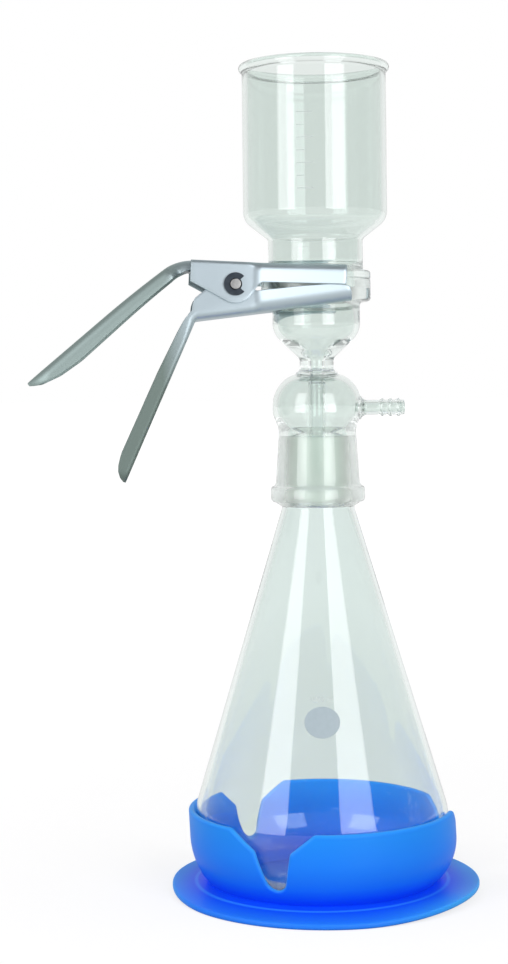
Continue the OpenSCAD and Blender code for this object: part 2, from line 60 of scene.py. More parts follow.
# a level camera: turn and roll aim it, and the shift moves the picture's frame
view = {
    "place": (0.0, -1.0145, 0.266),
    "lens": 72.82,
    "sensor": 36.0,
    "turn": 1.915,  # degrees to the left
    "roll": -0.62,
    "shift": (0.0025, -0.1092),
}

cameraData = bpy.data.cameras.new("camera")
cameraData.lens, cameraData.sensor_width = view["lens"], view["sensor"]
cameraData.shift_x, cameraData.shift_y = view["shift"]
camera = addObject("camera", cameraData)
camera.matrix_world = (
    Matrix.Translation(view["place"])
    @ Matrix.Rotation(math.radians(view["turn"]), 4, "Z")
    @ Matrix.Rotation(math.radians(90), 4, "X")
    @ Matrix.Rotation(math.radians(view["roll"]), 4, "Z")
)
bpy.context.scene.camera = camera
print("camera placed")


# arc of an ellipse with half axes a and b: centre plus (a cosine, b sine) of evenly spaced angles in degrees
def oval(cx, cz, a, b, a0, a1, n=28):
    t = np.radians(np.linspace(a0, a1, n + 1))
    return np.column_stack([cx + a * np.cos(t), cz + b * np.sin(t)])


def arc(cx, cz, r, a0, a1, n=16):
    return oval(cx, cz, r, r, a0, a1, n)


# upright at b, round a bulge r1, along the common tangent, round a hollow r2, upright at h;
# the tangent's angle is the centre line's angle less the arc cosine of (r1 + r2) / distance
def sCurve(b, r1, h, r2, n=18):
    dx, dz = h[0] - b[0], h[1] - b[1]
    k = min(1.0, 0.96 * (dx * dx + dz * dz) / (2 * abs(dx) * (r1 + r2)))  # radii that don't fit are shrunk
    c1 = (b[0] - k * r1, b[1])
    c2 = (h[0] + k * r2, h[1])
    gap = math.hypot(c2[0] - c1[0], c2[1] - c1[1])
    a = math.atan2(c2[1] - c1[1], c2[0] - c1[0]) - math.copysign(math.acos(k * (r1 + r2) / gap), dz)
    a = math.degrees(a)
    return np.vstack([arc(*c1, k * r1, 0, a, n), arc(*c2, k * r2, 180 + a, 180, n)])


# stretches longer than step are cut evenly, so that normals stay true next to the arcs
def fine(points, step=2.0):
    out = []
    for p, q in zip(points[:-1], points[1:]):
        n = max(1, int(math.ceil(np.hypot(*(q - p)) / step)))
        out.append(p + (q - p) * (np.arange(n) / n)[:, None])
    out = np.vstack([*out, points[-1:]])
    far = np.hypot(*np.diff(out, axis=0).T) > 1e-5
    return out[np.append(True, far)]


# distance along a line of points, from its start
def pathLength(points):
    return np.concatenate([[0], np.cumsum(np.hypot(*np.diff(points, axis=0).T))])


# from 0 to 1 with level ends: three squares less two cubes
def smooth(t):
    return t ** 2 * (3 - 2 * t)


def circle(around):
    return np.linspace(0, 2 * np.pi, around, endpoint=False)


def editMesh(mesh, edit):
    bm = bmesh.new()
    bm.from_mesh(mesh)
    edit(bm)
    bm.to_mesh(mesh)
    bm.free()


def mergeDoubles(mesh, reach):
    editMesh(mesh, lambda bm: bmesh.ops.remove_doubles(bm, verts=bm.verts, dist=reach))


def makePiece(name, verts, faces, materials, faceMaterial=None, sharp=35.0, merge=1e-6):
    mesh = bpy.data.meshes.new(name)
    mesh.from_pydata(verts.tolist(), [], faces.tolist())
    for m in materials:
        mesh.materials.append(m)
    if faceMaterial is not None:
        mesh.polygons.foreach_set("material_index", np.asarray(faceMaterial, np.int32))
    if merge:
        mergeDoubles(mesh, merge)
    mesh.polygons.foreach_set("use_smooth", np.ones(len(mesh.polygons), bool))
    if sharp:
        mesh.set_sharp_from_angle(angle=math.radians(sharp))
    mesh.update()
    return addObject(name, mesh)


# a new mesh of a piece with its modifiers, or of a text
def evaluatedMesh(piece):
    bpy.context.view_layer.update()
    return bpy.data.meshes.new_from_object(piece.evaluated_get(bpy.context.evaluated_depsgraph_get()))


# quads between the rows and columns of a grid; a closed grid joins its last row or column to the first
def gridFaces(rows, columns, closedRows=False, closedColumns=True):
    i = np.arange(rows if closedRows else rows - 1)
    j = np.arange(columns if closedColumns else columns - 1)
    a, b = np.meshgrid(i, j, indexing="ij")
    an, bn = (a + 1) % rows, (b + 1) % columns
    corners = [a * columns + b, a * columns + bn, an * columns + bn, an * columns + b]
    return np.stack(corners, -1).reshape(-1, 4)


# profile (radius, height) carried round an axis: r cos a, r sin a and the height along the axis
def spun(outline, around):
    a = circle(around)
    r, along = outline[:, 0, None], outline[:, 1, None]
    return [part.ravel() for part in (r * np.cos(a), r * np.sin(a), along + 0 * a)]


def turned(outline, around, closed=True):
    return np.column_stack(spun(outline, around)) * mm, gridFaces(len(outline), around, closedRows=closed)


# middles of the stretches of a closed outline, as radii and heights
def stretchMiddles(outline):
    return ((outline + np.roll(outline, -1, axis=0)) / 2).T


# a socket takes either another socket or a plain value
def feed(tree, socket, value):
    if hasattr(value, "links"):
        tree.links.new(value, socket)
    else:
        socket.default_value = value


# a node group that reads a vector and some sizes, and puts out masks or heights
def newGroup(name, outputs, **sizes):
    tree = bpy.data.node_groups.new(name, "ShaderNodeTree")
    tree.interface.new_socket("Vector", in_out="INPUT", socket_type="NodeSocketVector")
    for label, value in sizes.items():
        label = label.replace("_", " ")
        tree.interface.new_socket(label, in_out="INPUT", socket_type="NodeSocketFloat").default_value = value
    for label in outputs:
        tree.interface.new_socket(label, in_out="OUTPUT", socket_type="NodeSocketFloat")
    return tree, tree.nodes.new("NodeGroupInput").outputs, tree.nodes.new("NodeGroupOutput").inputs


def mathNode(tree, operation, *values):
    node = tree.nodes.new("ShaderNodeMath")
    node.operation = operation
    for socket, value in zip(node.inputs, values):
        feed(tree, socket, value)
    return node.outputs[0]


def noiseNode(tree, vector, scale, detail, rough):
    node = tree.nodes.new("ShaderNodeTexNoise")
    for label, value in (("Vector", vector), ("Scale", scale), ("Detail", detail), ("Roughness", rough)):
        feed(tree, node.inputs[label], value)
    return node.outputs["Fac"]


def ranged(tree, value, low, high, fromLow=0.0, fromHigh=1.0):
    node = tree.nodes.new("ShaderNodeMapRange")
    tree.links.new(value, node.inputs["Value"])
    for label, number in (("From Min", fromLow), ("From Max", fromHigh), ("To Min", low), ("To Max", high)):
        node.inputs[label].default_value = number
    return node.outputs["Result"]


def stretched(tree, vector, scale):
    node = tree.nodes.new("ShaderNodeMapping")
    node.inputs["Scale"].default_value = scale
    tree.links.new(vector, node.inputs["Vector"])
    return node.outputs["Vector"]


def split(tree, vector):
    node = tree.nodes.new("ShaderNodeSeparateXYZ")
    tree.links.new(vector, node.inputs[0])
    return node.outputs


# square root of the sum of two parts' squares
def distance(tree, parts, axes):
    squares = [mathNode(tree, "MULTIPLY", parts[axis], parts[axis]) for axis in axes]
    return mathNode(tree, "SQRT", mathNode(tree, "ADD", *squares))


# fine speckle of a ground or moulded surface: height and a slow cloudy mask
def makeGrain():
    tree, inside, outside = newGroup("fine grain", ("Height", "Cloud"), Scale=2500.0, Cloud_Scale=60.0)
    vector = inside["Vector"]
    tree.links.new(noiseNode(tree, vector, inside["Scale"], 3.0, 0.6), outside["Height"])
    tree.links.new(noiseNode(tree, vector, inside["Cloud Scale"], 3.0, 0.55), outside["Cloud"])
    return tree


# slow waves left by working the hot glass, stretched along the draw, and faint smudges
def makeDrawn():
    tree, inside, outside = newGroup("drawn glass", ("Height", "Smudge"), Wave_Scale=28.0)
    vector = inside["Vector"]
    along = stretched(tree, vector, (1.0, 1.0, 0.25))
    tree.links.new(noiseNode(tree, along, inside["Wave Scale"], 1.0, 0.4), outside["Height"])
    smudge = noiseNode(tree, vector, 45.0, 4.0, 0.6)
    tree.links.new(ranged(tree, smudge, 0.0, 1.0, 0.45, 0.75), outside["Smudge"])
    return tree


# rolled sheet: streaks along the sheet, fine grain and slow patches
def makeRolled():
    tree, inside, outside = newGroup("rolled sheet", ("Height", "Streaks", "Patches"), Streak=3500.0)
    vector = inside["Vector"]
    streak = noiseNode(tree, stretched(tree, vector, (0.05, 1.0, 1.0)), inside["Streak"], 3.0, 0.6)
    fineGrain = noiseNode(tree, vector, 6000.0, 2.0, 0.5)
    height = mathNode(tree, "ADD", mathNode(tree, "MULTIPLY", streak, 0.6),
                      mathNode(tree, "MULTIPLY", fineGrain, 0.4))
    tree.links.new(streak, outside["Streaks"])
    tree.links.new(height, outside["Height"])
    tree.links.new(noiseNode(tree, vector, 35.0, 4.0, 0.6), outside["Patches"])
    return tree


grain, drawn, rolled = makeGrain(), makeDrawn(), makeRolled()


def startMaterial(name, **sockets):
    material = bpy.data.materials.new(name)
    material.use_nodes = True
    tree = material.node_tree
    shader = tree.nodes["Principled BSDF"]
    for label, value in sockets.items():
        shader.inputs[label.replace("_", " ")].default_value = value
    place = tree.nodes.new("ShaderNodeTexCoord")
    return material, tree, shader.inputs, place.outputs["Object"]


def addGroup(tree, group, vector, **sockets):
    node = tree.nodes.new("ShaderNodeGroup")
    node.node_tree = group
    tree.links.new(vector, node.inputs["Vector"])
    for label, value in sockets.items():
        node.inputs[label.replace("_", " ")].default_value = value
    return node.outputs


def mixColour(tree, factor, low, high):
    node = tree.nodes.new("ShaderNodeMix")
    node.data_type = "RGBA"
    feed(tree, node.inputs[0], factor)
    for socket, value in ((node.inputs[6], low), (node.inputs[7], high)):
        feed(tree, socket, value if hasattr(value, "links") else (*value, 1.0))
    return node.outputs[2]


def attributeNode(tree, name):
    node = tree.nodes.new("ShaderNodeAttribute")
    node.attribute_name = name
    return node.outputs["Fac"]


# colour, roughness and bump of a surface; the bump is its strength and depth
def addSurface(tree, shader, colour, rough, height, bump):
    node = tree.nodes.new("ShaderNodeBump")
    node.inputs["Strength"].default_value, node.inputs["Distance"].default_value = bump
    tree.links.new(height, node.inputs["Height"])
    for label, socket in (("Base Color", colour), ("Roughness", rough), ("Normal", node.outputs["Normal"])):
        tree.links.new(socket, shader[label])


# colour and roughness follow the grain's cloud, and the bump follows its height
def addGrained(tree, shader, made, low, high, rough, bump, roughBy="Cloud"):
    addSurface(tree, shader, mixColour(tree, made["Cloud"], low, high), ranged(tree, made[roughBy], *rough),
               made["Height"], bump)


glassLook = {
    "tint": (0.835, 0.885, 0.863),
    "tintDeep": (0.805, 0.865, 0.838),
    "flask": (0.848, 0.9, 0.885),
    "flaskDeep": (0.818, 0.88, 0.86),
    "tube": (0.93, 0.945, 0.94),
    "tubeDeep": (0.9, 0.925, 0.92),
    "joint": (0.95, 0.985, 0.945),
    # painted shade: the dark tint at the support's mouth stands in for the shade in the joint's gap
    "mouth": (0.45, 0.53, 0.48),
    "face": (0.84, 0.89, 0.86),
    "ior": 1.473,
    "smudge": (0.0, 0.035),  # roughness beside and on the smudges
    "wave": (0.15, 0.0006),
    "groundBump": (0.3, 0.0001),
    "groundShade": 0.93,
}


def startGlass(name):
    return startMaterial(name, Transmission_Weight=1.0, IOR=glassLook["ior"], Metallic=0.0)


def makeClearGlass(name, tint, tintDeep):
    material, tree, shader, vector = startGlass(name)
    made = addGroup(tree, drawn, vector)
    addSurface(tree, shader, mixColour(tree, made["Height"], tint, tintDeep),
               ranged(tree, made["Smudge"], *glassLook["smudge"]), made["Height"], glassLook["wave"])
    return material


def makeGroundGlass(name, tint, rough):
    material, tree, shader, vector = startGlass(name)
    made = addGroup(tree, grain, vector, Scale=2200.0, Cloud_Scale=90.0)
    darker = tuple(glassLook["groundShade"] * c for c in tint)
    addGrained(tree, shader, made, tint, darker, (rough - 0.06, rough + 0.08), glassLook["groundBump"])
    return material


siliconeLook = {
    "low": ((0.005, 0.125, 0.95), (0.008, 0.150, 0.97)),
    "high": ((0.012, 0.265, 0.97), (0.018, 0.305, 0.99)),
    "rise": (0.004, 0.040),  # heights between which the cup grows paler
    # painted shade in the undercut over the crease, and the heights it spans
    "crease": (0.002, 0.075, 0.86),
    "creaseShadeZ": (0.0065, 0.0155),
    "skirtZ": (0.0062, 0.0075),
    # painted shade on the skirt, darkest next to the cup
    "skirt": ((0.004, 0.10, 0.92), (0.022, 0.24, 0.96)),
    "skirtRadius": (0.066, 0.081),
    "lifted": (0.045, 0.42, 0.97),
    "liftedShare": 0.9,
    # painted highlight on the fillet just outside the crease, between two radii
    "bead": (0.03, 0.27, 0.98),
    "beadHighlightInner": (0.0640, 0.0650),
    "beadHighlightOuter": (0.0656, 0.0668),
    # painted highlight on the rounded lip and the notches' edges
    "lip": (0.04, 0.36, 0.99),
    "rough": (0.36, 0.48),
    "bump": (0.1, 0.00006),
}


def makeSilicone(s):
    material, tree, shader, vector = startMaterial(
        "blue silicone", IOR=1.41, Metallic=0.0, Specular_IOR_Level=0.22, Subsurface_Weight=0.1,
        Subsurface_Radius=(0.2, 0.5, 1.0), Subsurface_Scale=0.002)
    made = addGroup(tree, grain, vector, Scale=1400.0, Cloud_Scale=25.0)
    parts = split(tree, vector)
    low, high = (mixColour(tree, made["Cloud"], *s[part]) for part in ("low", "high"))
    body = mixColour(tree, ranged(tree, parts["Z"], 0.0, 1.0, *s["rise"]), low, high)
    # painted shade round the crease, a painted highlight on the bead just outside it, and painted shade on
    # the skirt next to the cup, paler and greener towards the skirt's edge
    body = mixColour(tree, ranged(tree, parts["Z"], 1.0, 0.0, *s["creaseShadeZ"]), body, s["crease"])
    radius = distance(tree, parts, "XY")
    skirt = mixColour(tree, ranged(tree, radius, 0.0, 1.0, *s["skirtRadius"]), *s["skirt"])
    # light shines through the skirt where it stands off the floor
    lifted = mathNode(tree, "MULTIPLY", attributeNode(tree, "lift"), s["liftedShare"])
    skirt = mixColour(tree, lifted, skirt, s["lifted"])
    bead = mathNode(tree, "MULTIPLY", ranged(tree, radius, 0.0, 1.0, *s["beadHighlightInner"]),
                    ranged(tree, radius, 1.0, 0.0, *s["beadHighlightOuter"]))
    skirt = mixColour(tree, bead, skirt, s["bead"])
    body = mixColour(tree, ranged(tree, parts["Z"], 1.0, 0.0, *s["skirtZ"]), body, skirt)
    # painted highlight along the lip, by the share each ring carries
    body = mixColour(tree, attributeNode(tree, "lipHighlight"), body, s["lip"])
    addSurface(tree, shader, body, ranged(tree, made["Cloud"], *s["rough"]), made["Height"], s["bump"])
    return material


# distance from the pin's axis in millimetres: the pattern is moved to the pin and turned with the clamp
def pinDistance(tree, vector, place, turn):
    centred = tree.nodes.new("ShaderNodeMapping")
    centred.vector_type = "TEXTURE"
    centred.inputs["Location"].default_value = place
    centred.inputs["Rotation"].default_value = (0, 0, turn)
    centred.inputs["Scale"].default_value = (mm, mm, mm)
    tree.links.new(vector, centred.inputs["Vector"])
    return distance(tree, split(tree, centred.outputs["Vector"]), "XZ")


# the handles are painted darker than the ears and arms, as painted shade, and are rougher from being gripped
def makeSheet(name, handlePaintedShade, s, pin):
    material, tree, shader, vector = startMaterial(name, Metallic=1.0)
    made = addGroup(tree, rolled, vector)
    tone = mathNode(tree, "ADD", mathNode(tree, "MULTIPLY", made["Streaks"], 0.5),
                    mathNode(tree, "MULTIPLY", made["Patches"], 0.5))
    # painted shade and wear: towards the handles the colour turns to the painted shade, and the roughness
    # grows from gripping
    paintedShadeAndWear = ranged(tree, split(tree, vector)["X"], 1.0, 0.0, *s["paintedShadeAndWearX"])
    body = mixColour(tree, paintedShadeAndWear, mixColour(tree, tone, s["low"], s["high"]), handlePaintedShade)
    # painted shade: a dark ring round the pin stands in for the shade in the hole's clearance
    gap = ranged(tree, pinDistance(tree, vector, *pin), 1.0, 0.0, *s["gap"])
    rough = mathNode(tree, "ADD", ranged(tree, made["Patches"], *s["rough"]),
                     mathNode(tree, "MULTIPLY", paintedShadeAndWear, s["wornRough"]))
    addSurface(tree, shader, mixColour(tree, gap, body, s["pinGapShade"]), rough, made["Height"], s["bump"])
    return material


steelBump, enamelBump, enamelRough = (0.2, 0.00004), (0.2, 0.00003), (0.45, 0.65)


def makeSteel(name, low, high, rough):
    material, tree, shader, vector = startMaterial(name, Metallic=1.0)
    made = addGroup(tree, grain, vector, Scale=2000.0, Cloud_Scale=300.0)
    addGrained(tree, shader, made, low, high, rough, steelBump)
    return material


# the pin's end is ground pale inside a rim of painted shade, for the shadow in the gap round it
def makePin(name, s, pin):
    material, tree, shader, vector = startMaterial(name, Metallic=1.0)
    made = addGroup(tree, grain, vector, Scale=2500.0, Cloud_Scale=700.0)
    rim = ranged(tree, pinDistance(tree, vector, *pin), 0.0, 1.0, *s["rim"])
    face = mixColour(tree, rim, mixColour(tree, made["Cloud"], s["low"], s["high"]), s["paintedRimShade"])
    addSurface(tree, shader, face, ranged(tree, made["Cloud"], *s["rough"]), made["Height"], steelBump)
    return material


def makeEnamel(name, low, high):
    material, tree, shader, vector = startMaterial(name, Metallic=0.0, IOR=1.5)
    made = addGroup(tree, grain, vector, Scale=3000.0, Cloud_Scale=400.0)
    addGrained(tree, shader, made, low, high, enamelRough, enamelBump, roughBy="Height")
    return material


sinteredLook = {
    "bead": (0.86, 0.9, 0.88),
    "between": (0.62, 0.68, 0.66),
    "cloud": (0.9, 0.93, 0.91),
    "beadScale": 3200.0,
    "rough": (0.6, 0.85),
    "bump": (0.5, 0.0002),
}


# fused beads of glass, paler in clouds
def makeSintered(s):
    material, tree, shader, vector = startMaterial("sintered glass", Metallic=0.0, IOR=1.47)
    made = addGroup(tree, grain, vector, Scale=1600.0, Cloud_Scale=500.0)
    beads = tree.nodes.new("ShaderNodeTexVoronoi")
    beads.inputs["Scale"].default_value = s["beadScale"]
    tree.links.new(vector, beads.inputs["Vector"])
    tone = mixColour(tree, beads.outputs["Distance"], s["bead"], s["between"])
    addSurface(tree, shader, mixColour(tree, made["Cloud"], tone, s["cloud"]),
               ranged(tree, made["Cloud"], *s["rough"]), beads.outputs["Distance"], s["bump"])
    return material


clearGlass = makeClearGlass("clear glass", glassLook["tint"], glassLook["tintDeep"])
flaskClear = makeClearGlass("flask glass", glassLook["flask"], glassLook["flaskDeep"])
tubeClear = makeClearGlass("tube glass", glassLook["tube"], glassLook["tubeDeep"])
groundJoint = makeGroundGlass("ground joint glass", glassLook["joint"], 0.35)
# glass at the mouth, with the painted shade of the joint's gap
groundMouthShade = makeGroundGlass("ground mouth glass", glassLook["mouth"], 0.3)
groundFace = makeGroundGlass("ground flange glass", glassLook["face"], 0.2)
blueSilicone = makeSilicone(siliconeLook)
clipSteel = makeSteel("blackened steel", (0.045, 0.058, 0.075), (0.10, 0.12, 0.14), (0.25, 0.4))
springSteel = makeSteel("spring steel", (0.5, 0.52, 0.53), (0.62, 0.63, 0.64), (0.2, 0.35))
sinteredGlass = makeSintered(sinteredLook)
# painted shade: the writing spot is white enamel, given a grey-blue for the shade it sits in
shadedSpotEnamel = makeEnamel("shaded white enamel", (0.37, 0.46, 0.49), (0.43, 0.52, 0.56))
paleEnamel = makeEnamel("pale enamel", (0.5, 0.58, 0.56), (0.6, 0.66, 0.64))
print("materials made")


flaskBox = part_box("flask")
flaskSizes = {
    "radius": flaskBox[1].x / mm,
    "bottom": flaskBox[0].z / mm,
    "top": flaskBox[1].z / mm,
    "wall": 2.3,
    "heel": 25.0,
    "side": 10.0,  # straight stretch over the heel
    "jointRadius": 17.25,
    "jointLength": 35.0,
    "taper": 20.0,  # length in which the joint's radius shrinks by one
    "jointWall": 3.0,
    "lip": 1.2,
    "boreRise": 4.0,
    "neckStep": 1.5,
    "neckDrop": 1.6,
    "neckHollow": 4.0,
    "punt": 2.5,
    "around": 160,
}


def flaskOutline(s):
    w, lip, top, punt = s["wall"], s["lip"], s["top"], s["bottom"] + s["punt"]
    joint = top - s["jointLength"]
    tip = s["jointRadius"] - s["jointLength"] / s["taper"]
    neck, neckZ, bore = s["jointRadius"] + s["neckStep"], joint - s["neckDrop"], tip - s["jointWall"]
    heel = (s["radius"] - s["heel"], s["bottom"] + s["heel"])
    side = heel[1] + s["side"]
    parts = [
        [[0, punt]],
        arc(*heel, s["heel"], -90, 0, 24),
        sCurve((s["radius"], side), s["heel"], (neck, neckZ), s["neckHollow"], 22),
        [[s["jointRadius"], joint]],
        arc(tip - lip, top - lip, lip, 0, 90, 8),
        arc(bore + lip, top - lip, lip, 90, 180, 8),
        [[bore, joint + s["boreRise"]]],
        sCurve((s["radius"] - w, side), s["heel"] - w, (neck - w, neckZ), s["neckHollow"] + w, 22)[::-1],
        arc(*heel, s["heel"] - w, -90, 0, 24)[::-1],
        [[0, punt + w]],
    ]
    return fine(np.vstack(parts)), joint


flaskPoints, jointZ = flaskOutline(flaskSizes)
flaskVerts, flaskFaces = turned(flaskPoints, flaskSizes["around"], closed=False)
rowZ = (flaskPoints[:-1, 1] + flaskPoints[1:, 1]) / 2
topRow = int(np.argmax(flaskPoints[:, 1]))
onCone = (rowZ > jointZ - 0.1) & (np.arange(len(rowZ)) < topRow) & (rowZ < flaskSizes["top"] - 1.0)
flaskGlass = makePiece("flaskGlass", flaskVerts, flaskFaces, [flaskClear, groundJoint],
                       np.repeat(onCone.astype(int), flaskSizes["around"]))
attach(flaskGlass, "stand")
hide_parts("flask")
print("flask made")

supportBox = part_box("filter_support")
supportSizes = {
    "top": supportBox[1].z / mm,
    "mouth": supportBox[0].z / mm,
    "mouthOut": 2.2,
    "mouthIn": 1.6,
    "socketWall": 4.6,
    "socketTop": 1.5,
    "collarStep": 2.65,
    "collarRise": 2.0,
    "collarHeight": 8.6,
    "collarRound": 2.2,
    "collarSlope": 1.4,
    "bulbStep": 3.1,
    "bulbRise": 15.0,
    "bulbHeight": 18.5,
    "bulbRound": 8.0,
    "bulbHollow": 12.0,
    "bulbSide": 2.0,
    "neckRadius": 8.8,
    "neckHeight": 5.2,
    "neckFillet": 2.6,
    "filletRise": 1.9,
    "neckOverlap": (0.6, 1.2),  # the bulb's oval runs this far into the neck and short of its height
    "bowlRadius": 22.7,
    "bowlDrop": 11.0,
    "bowlBulge": 12.0,
    "bowlHollow": 3.0,
    "wall": 2.5,
    "tubeRadius": 4.4,
    "tubeBore": 3.0,
    "tubeLength": 54.0,
    "tubeFillet": 2.0,
    "filletDrop": 6.3,
    "flangeRadius": 28.4,
    "flangeThickness": 11.5,
    "flangeFillet": 2.5,
    "flangeRound": 2.0,
    "topRound": 0.5,
    "discRadius": 20.0,
    "discThickness": 4.5,
    "ledge": (1.6, 3.0),  # width and thickness of the step under the disc
    "seat": 0.05,
    "around": 128,
}
armSizes = {
    "reach": supportBox[1].x / mm,
    "radius": 3.8,
    "bore": 2.5,
    "flare": 0.8,
    "overshoot": 0.4,
    "ridge": 4.7,
    "ridgeRound": 0.5,
    "ridgePeak": 2.0,
    "ridgeLength": 2.65,
    "ridgeLead": 2.6,
    "pitch": 4.2,
    "tip": 2.4,
    "endRound": 0.8,
    "weld": 6.2,
    "weldHollow": 4.0,
    "drop": 0.6,
    "around": 48,
}


def supportOutline(s, f):
    w, seat, mouth, top, jointTop = s["wall"], s["seat"], s["mouth"], s["top"], f["top"]
    big, small = f["jointRadius"], f["jointRadius"] - f["jointLength"] / f["taper"]
    collar, corner = big + s["socketWall"] + s["collarStep"], s["collarRound"]
    collarZ, collarTop = mouth + s["collarRise"], mouth + s["collarRise"] + s["collarHeight"]
    socket = small + s["socketWall"]
    bulb, bulbZ = socket + s["bulbStep"], jointTop + s["bulbRise"]
    neck, fillet, neckZ = s["neckRadius"], s["neckFillet"], bulbZ + s["bulbHeight"]
    half, rise = bulb - neck + s["neckOverlap"][0], s["bulbHeight"] - s["neckOverlap"][1]
    under, bowl = top - s["flangeThickness"], s["bowlRadius"]
    bowlZ = under - s["bowlDrop"]
    disc, discZ = s["discRadius"], top - s["discThickness"]
    inner, innerZ = disc - s["ledge"][0], discZ - s["ledge"][1]
    tube, bore, tubeEnd = s["tubeRadius"], s["tubeBore"], neckZ - s["tubeLength"]
    parts = [
        [[big + s["mouthOut"], mouth]],
        arc(collar - corner, collarZ + corner, corner, -90, 0, 8),
        arc(collar - corner, collarTop - corner, corner, 0, 80, 8),
        [[big + s["socketWall"], collarTop + s["collarSlope"]]],
        sCurve((bulb, bulbZ - s["bulbSide"]), s["bulbRound"], (socket, jointTop + s["socketTop"]),
               s["bulbHollow"])[::-1],
        oval(bulb - half, bulbZ, half, rise, 0, 80),
        arc(neck + fillet, neckZ + s["filletRise"], fillet, 258, 180, 10),
        sCurve((bowl, bowlZ), s["bowlBulge"], (neck, neckZ + s["neckHeight"]), s["bowlHollow"])[::-1],
        arc(bowl + s["flangeFillet"], under - s["flangeFillet"], s["flangeFillet"], 180, 90, 8),
        arc(s["flangeRadius"] - s["flangeRound"], under + s["flangeRound"], s["flangeRound"], -90, 0, 8),
        arc(s["flangeRadius"] - s["topRound"], top - s["topRound"], s["topRound"], 0, 90, 4),
        [[disc + seat, top], [disc + seat, discZ - seat], [inner, discZ - seat], [inner, innerZ]],
        sCurve((bowl - w, bowlZ), s["bowlBulge"] - w, (bore, neckZ + s["neckHeight"]), s["bowlHollow"] + w),
        [[bore, tubeEnd + 0.5], [bore + 0.5, tubeEnd], [tube - 0.3, tubeEnd + 0.3], [tube, tubeEnd + 1]],
        arc(tube + s["tubeFillet"], neckZ - s["filletDrop"], s["tubeFillet"], 180, 92, 8),
        oval(bulb - half, bulbZ, half - w, rise - w, 0, 78)[::-1],
        sCurve((bulb - w, bulbZ - s["bulbSide"]), s["bulbRound"] - w, (small + seat, jointTop + 1), 7),
        [[small + seat, jointTop], [big + seat, jointZ], [big + s["mouthIn"], mouth]],
    ]
    return fine(np.vstack(parts)), bulb, bulbZ


supportPoints, bulbRadius, bulbZ = supportOutline(supportSizes, flaskSizes)
supportVerts, supportFaces = turned(supportPoints, supportSizes["around"])
r, z = stretchMiddles(supportPoints)
joint, disc, top = flaskSizes["jointRadius"], supportSizes["discRadius"], supportSizes["top"]
# the band at the mouth gets the glass with the painted shade
mouth = (z < supportSizes["mouth"] + 0.8) & (r < joint + 2.4)
ground = (r > joint - 2.05) & (r < joint + 0.2) & (z > jointZ) & (z < flaskSizes["top"] + 0.2) & ~mouth
seat = (z > top - supportSizes["discThickness"] - 0.3) & (r < disc + 0.2) & (r > disc - 1.5)
tube = (r < supportSizes["tubeRadius"] + 0.1) & (z < bulbZ + supportSizes["bulbHeight"])
supportMaterial = np.select([ground, seat | (z > top - 0.01), tube, mouth], [1, 2, 3, 4], 0)


# profile (distance from the axis, reach) carried round the side arm's own axis, which points along +X
def armSolid(name, outline, height, around):
    y, z, x = spun(outline, around)
    verts = np.column_stack([x, y, height + z]) * mm
    return makePiece(name, verts, gridFaces(len(outline), around), [clearGlass], merge=1e-7)


def armOutline(s, bulb, wall):
    start = bulb - wall + 0.6
    parts = [[[0, start], [s["weld"], start], [s["weld"], bulb - 0.4]],
             arc(s["radius"] + s["weldHollow"], bulb + s["weldHollow"] - 1, s["weldHollow"], 235, 180, 10)]
    for i in (2, 1, 0):
        x = s["reach"] - s["tip"] - s["ridgeLead"] - i * s["pitch"]
        parts += [[[s["radius"], x]],
                  arc(s["ridge"] - s["ridgeRound"], x + s["ridgePeak"], s["ridgeRound"], -20, 70, 4),
                  [[s["radius"] + 0.1, x + s["ridgeLength"]]]]
    parts += [arc(s["radius"] - s["endRound"], s["reach"] - s["endRound"], s["endRound"], 0, 90, 6),
              [[0, s["reach"]]]]
    return fine(np.vstack(parts), 1.5)


def boreOutline(s, bulb):
    start, end = bulb - 6, s["reach"] + s["overshoot"]
    return fine(np.array([[0, start], [s["bore"], start], [s["bore"], s["reach"] - s["flare"]],
                          [s["bore"] + s["flare"], end], [0, end]]), 3.0)


def cutOrJoin(piece, other, operation):
    modifier = piece.modifiers.new(operation.lower(), "BOOLEAN")
    modifier.operation, modifier.object, modifier.solver = operation, other, "EXACT"
    made = evaluatedMesh(piece)
    piece.modifiers.clear()
    piece.data = made
    bpy.data.objects.remove(other)


supportGlass = makePiece("supportGlass", supportVerts, supportFaces,
                         [clearGlass, groundJoint, groundFace, tubeClear, groundMouthShade],
                         np.repeat(supportMaterial, supportSizes["around"]))
armShapes = (("armBody", armOutline(armSizes, bulbRadius, supportSizes["wall"]), "UNION"),
             ("armHole", boreOutline(armSizes, bulbRadius), "DIFFERENCE"))
for name, outline, operation in armShapes:
    cutOrJoin(supportGlass, armSolid(name, outline, bulbZ - armSizes["drop"], armSizes["around"]), operation)
supportGlass.data.set_sharp_from_angle(angle=math.radians(35))
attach(supportGlass, "stand")
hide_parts("filter_support")
print("filter support made")

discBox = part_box("sintered_disc")
discSizes = {
    "radius": discBox[1].x / mm,
    "bottom": discBox[0].z / mm,
    "top": discBox[1].z / mm,
    "round": 0.4,
    "around": 96,
}


def discOutline(s):
    r, e = s["radius"], s["round"]
    return fine(np.vstack([[[0, s["bottom"]]], arc(r - e, s["bottom"] + e, e, -90, 0, 5),
                           arc(r - e, s["top"] - e, e, 0, 90, 5), [[0, s["top"]]]]))


discVerts, discFaces = turned(discOutline(discSizes), discSizes["around"], closed=False)
sinteredPlate = makePiece("sinteredPlate", discVerts, discFaces, [sinteredGlass])
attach(sinteredPlate, "stand")
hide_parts("sintered_disc")

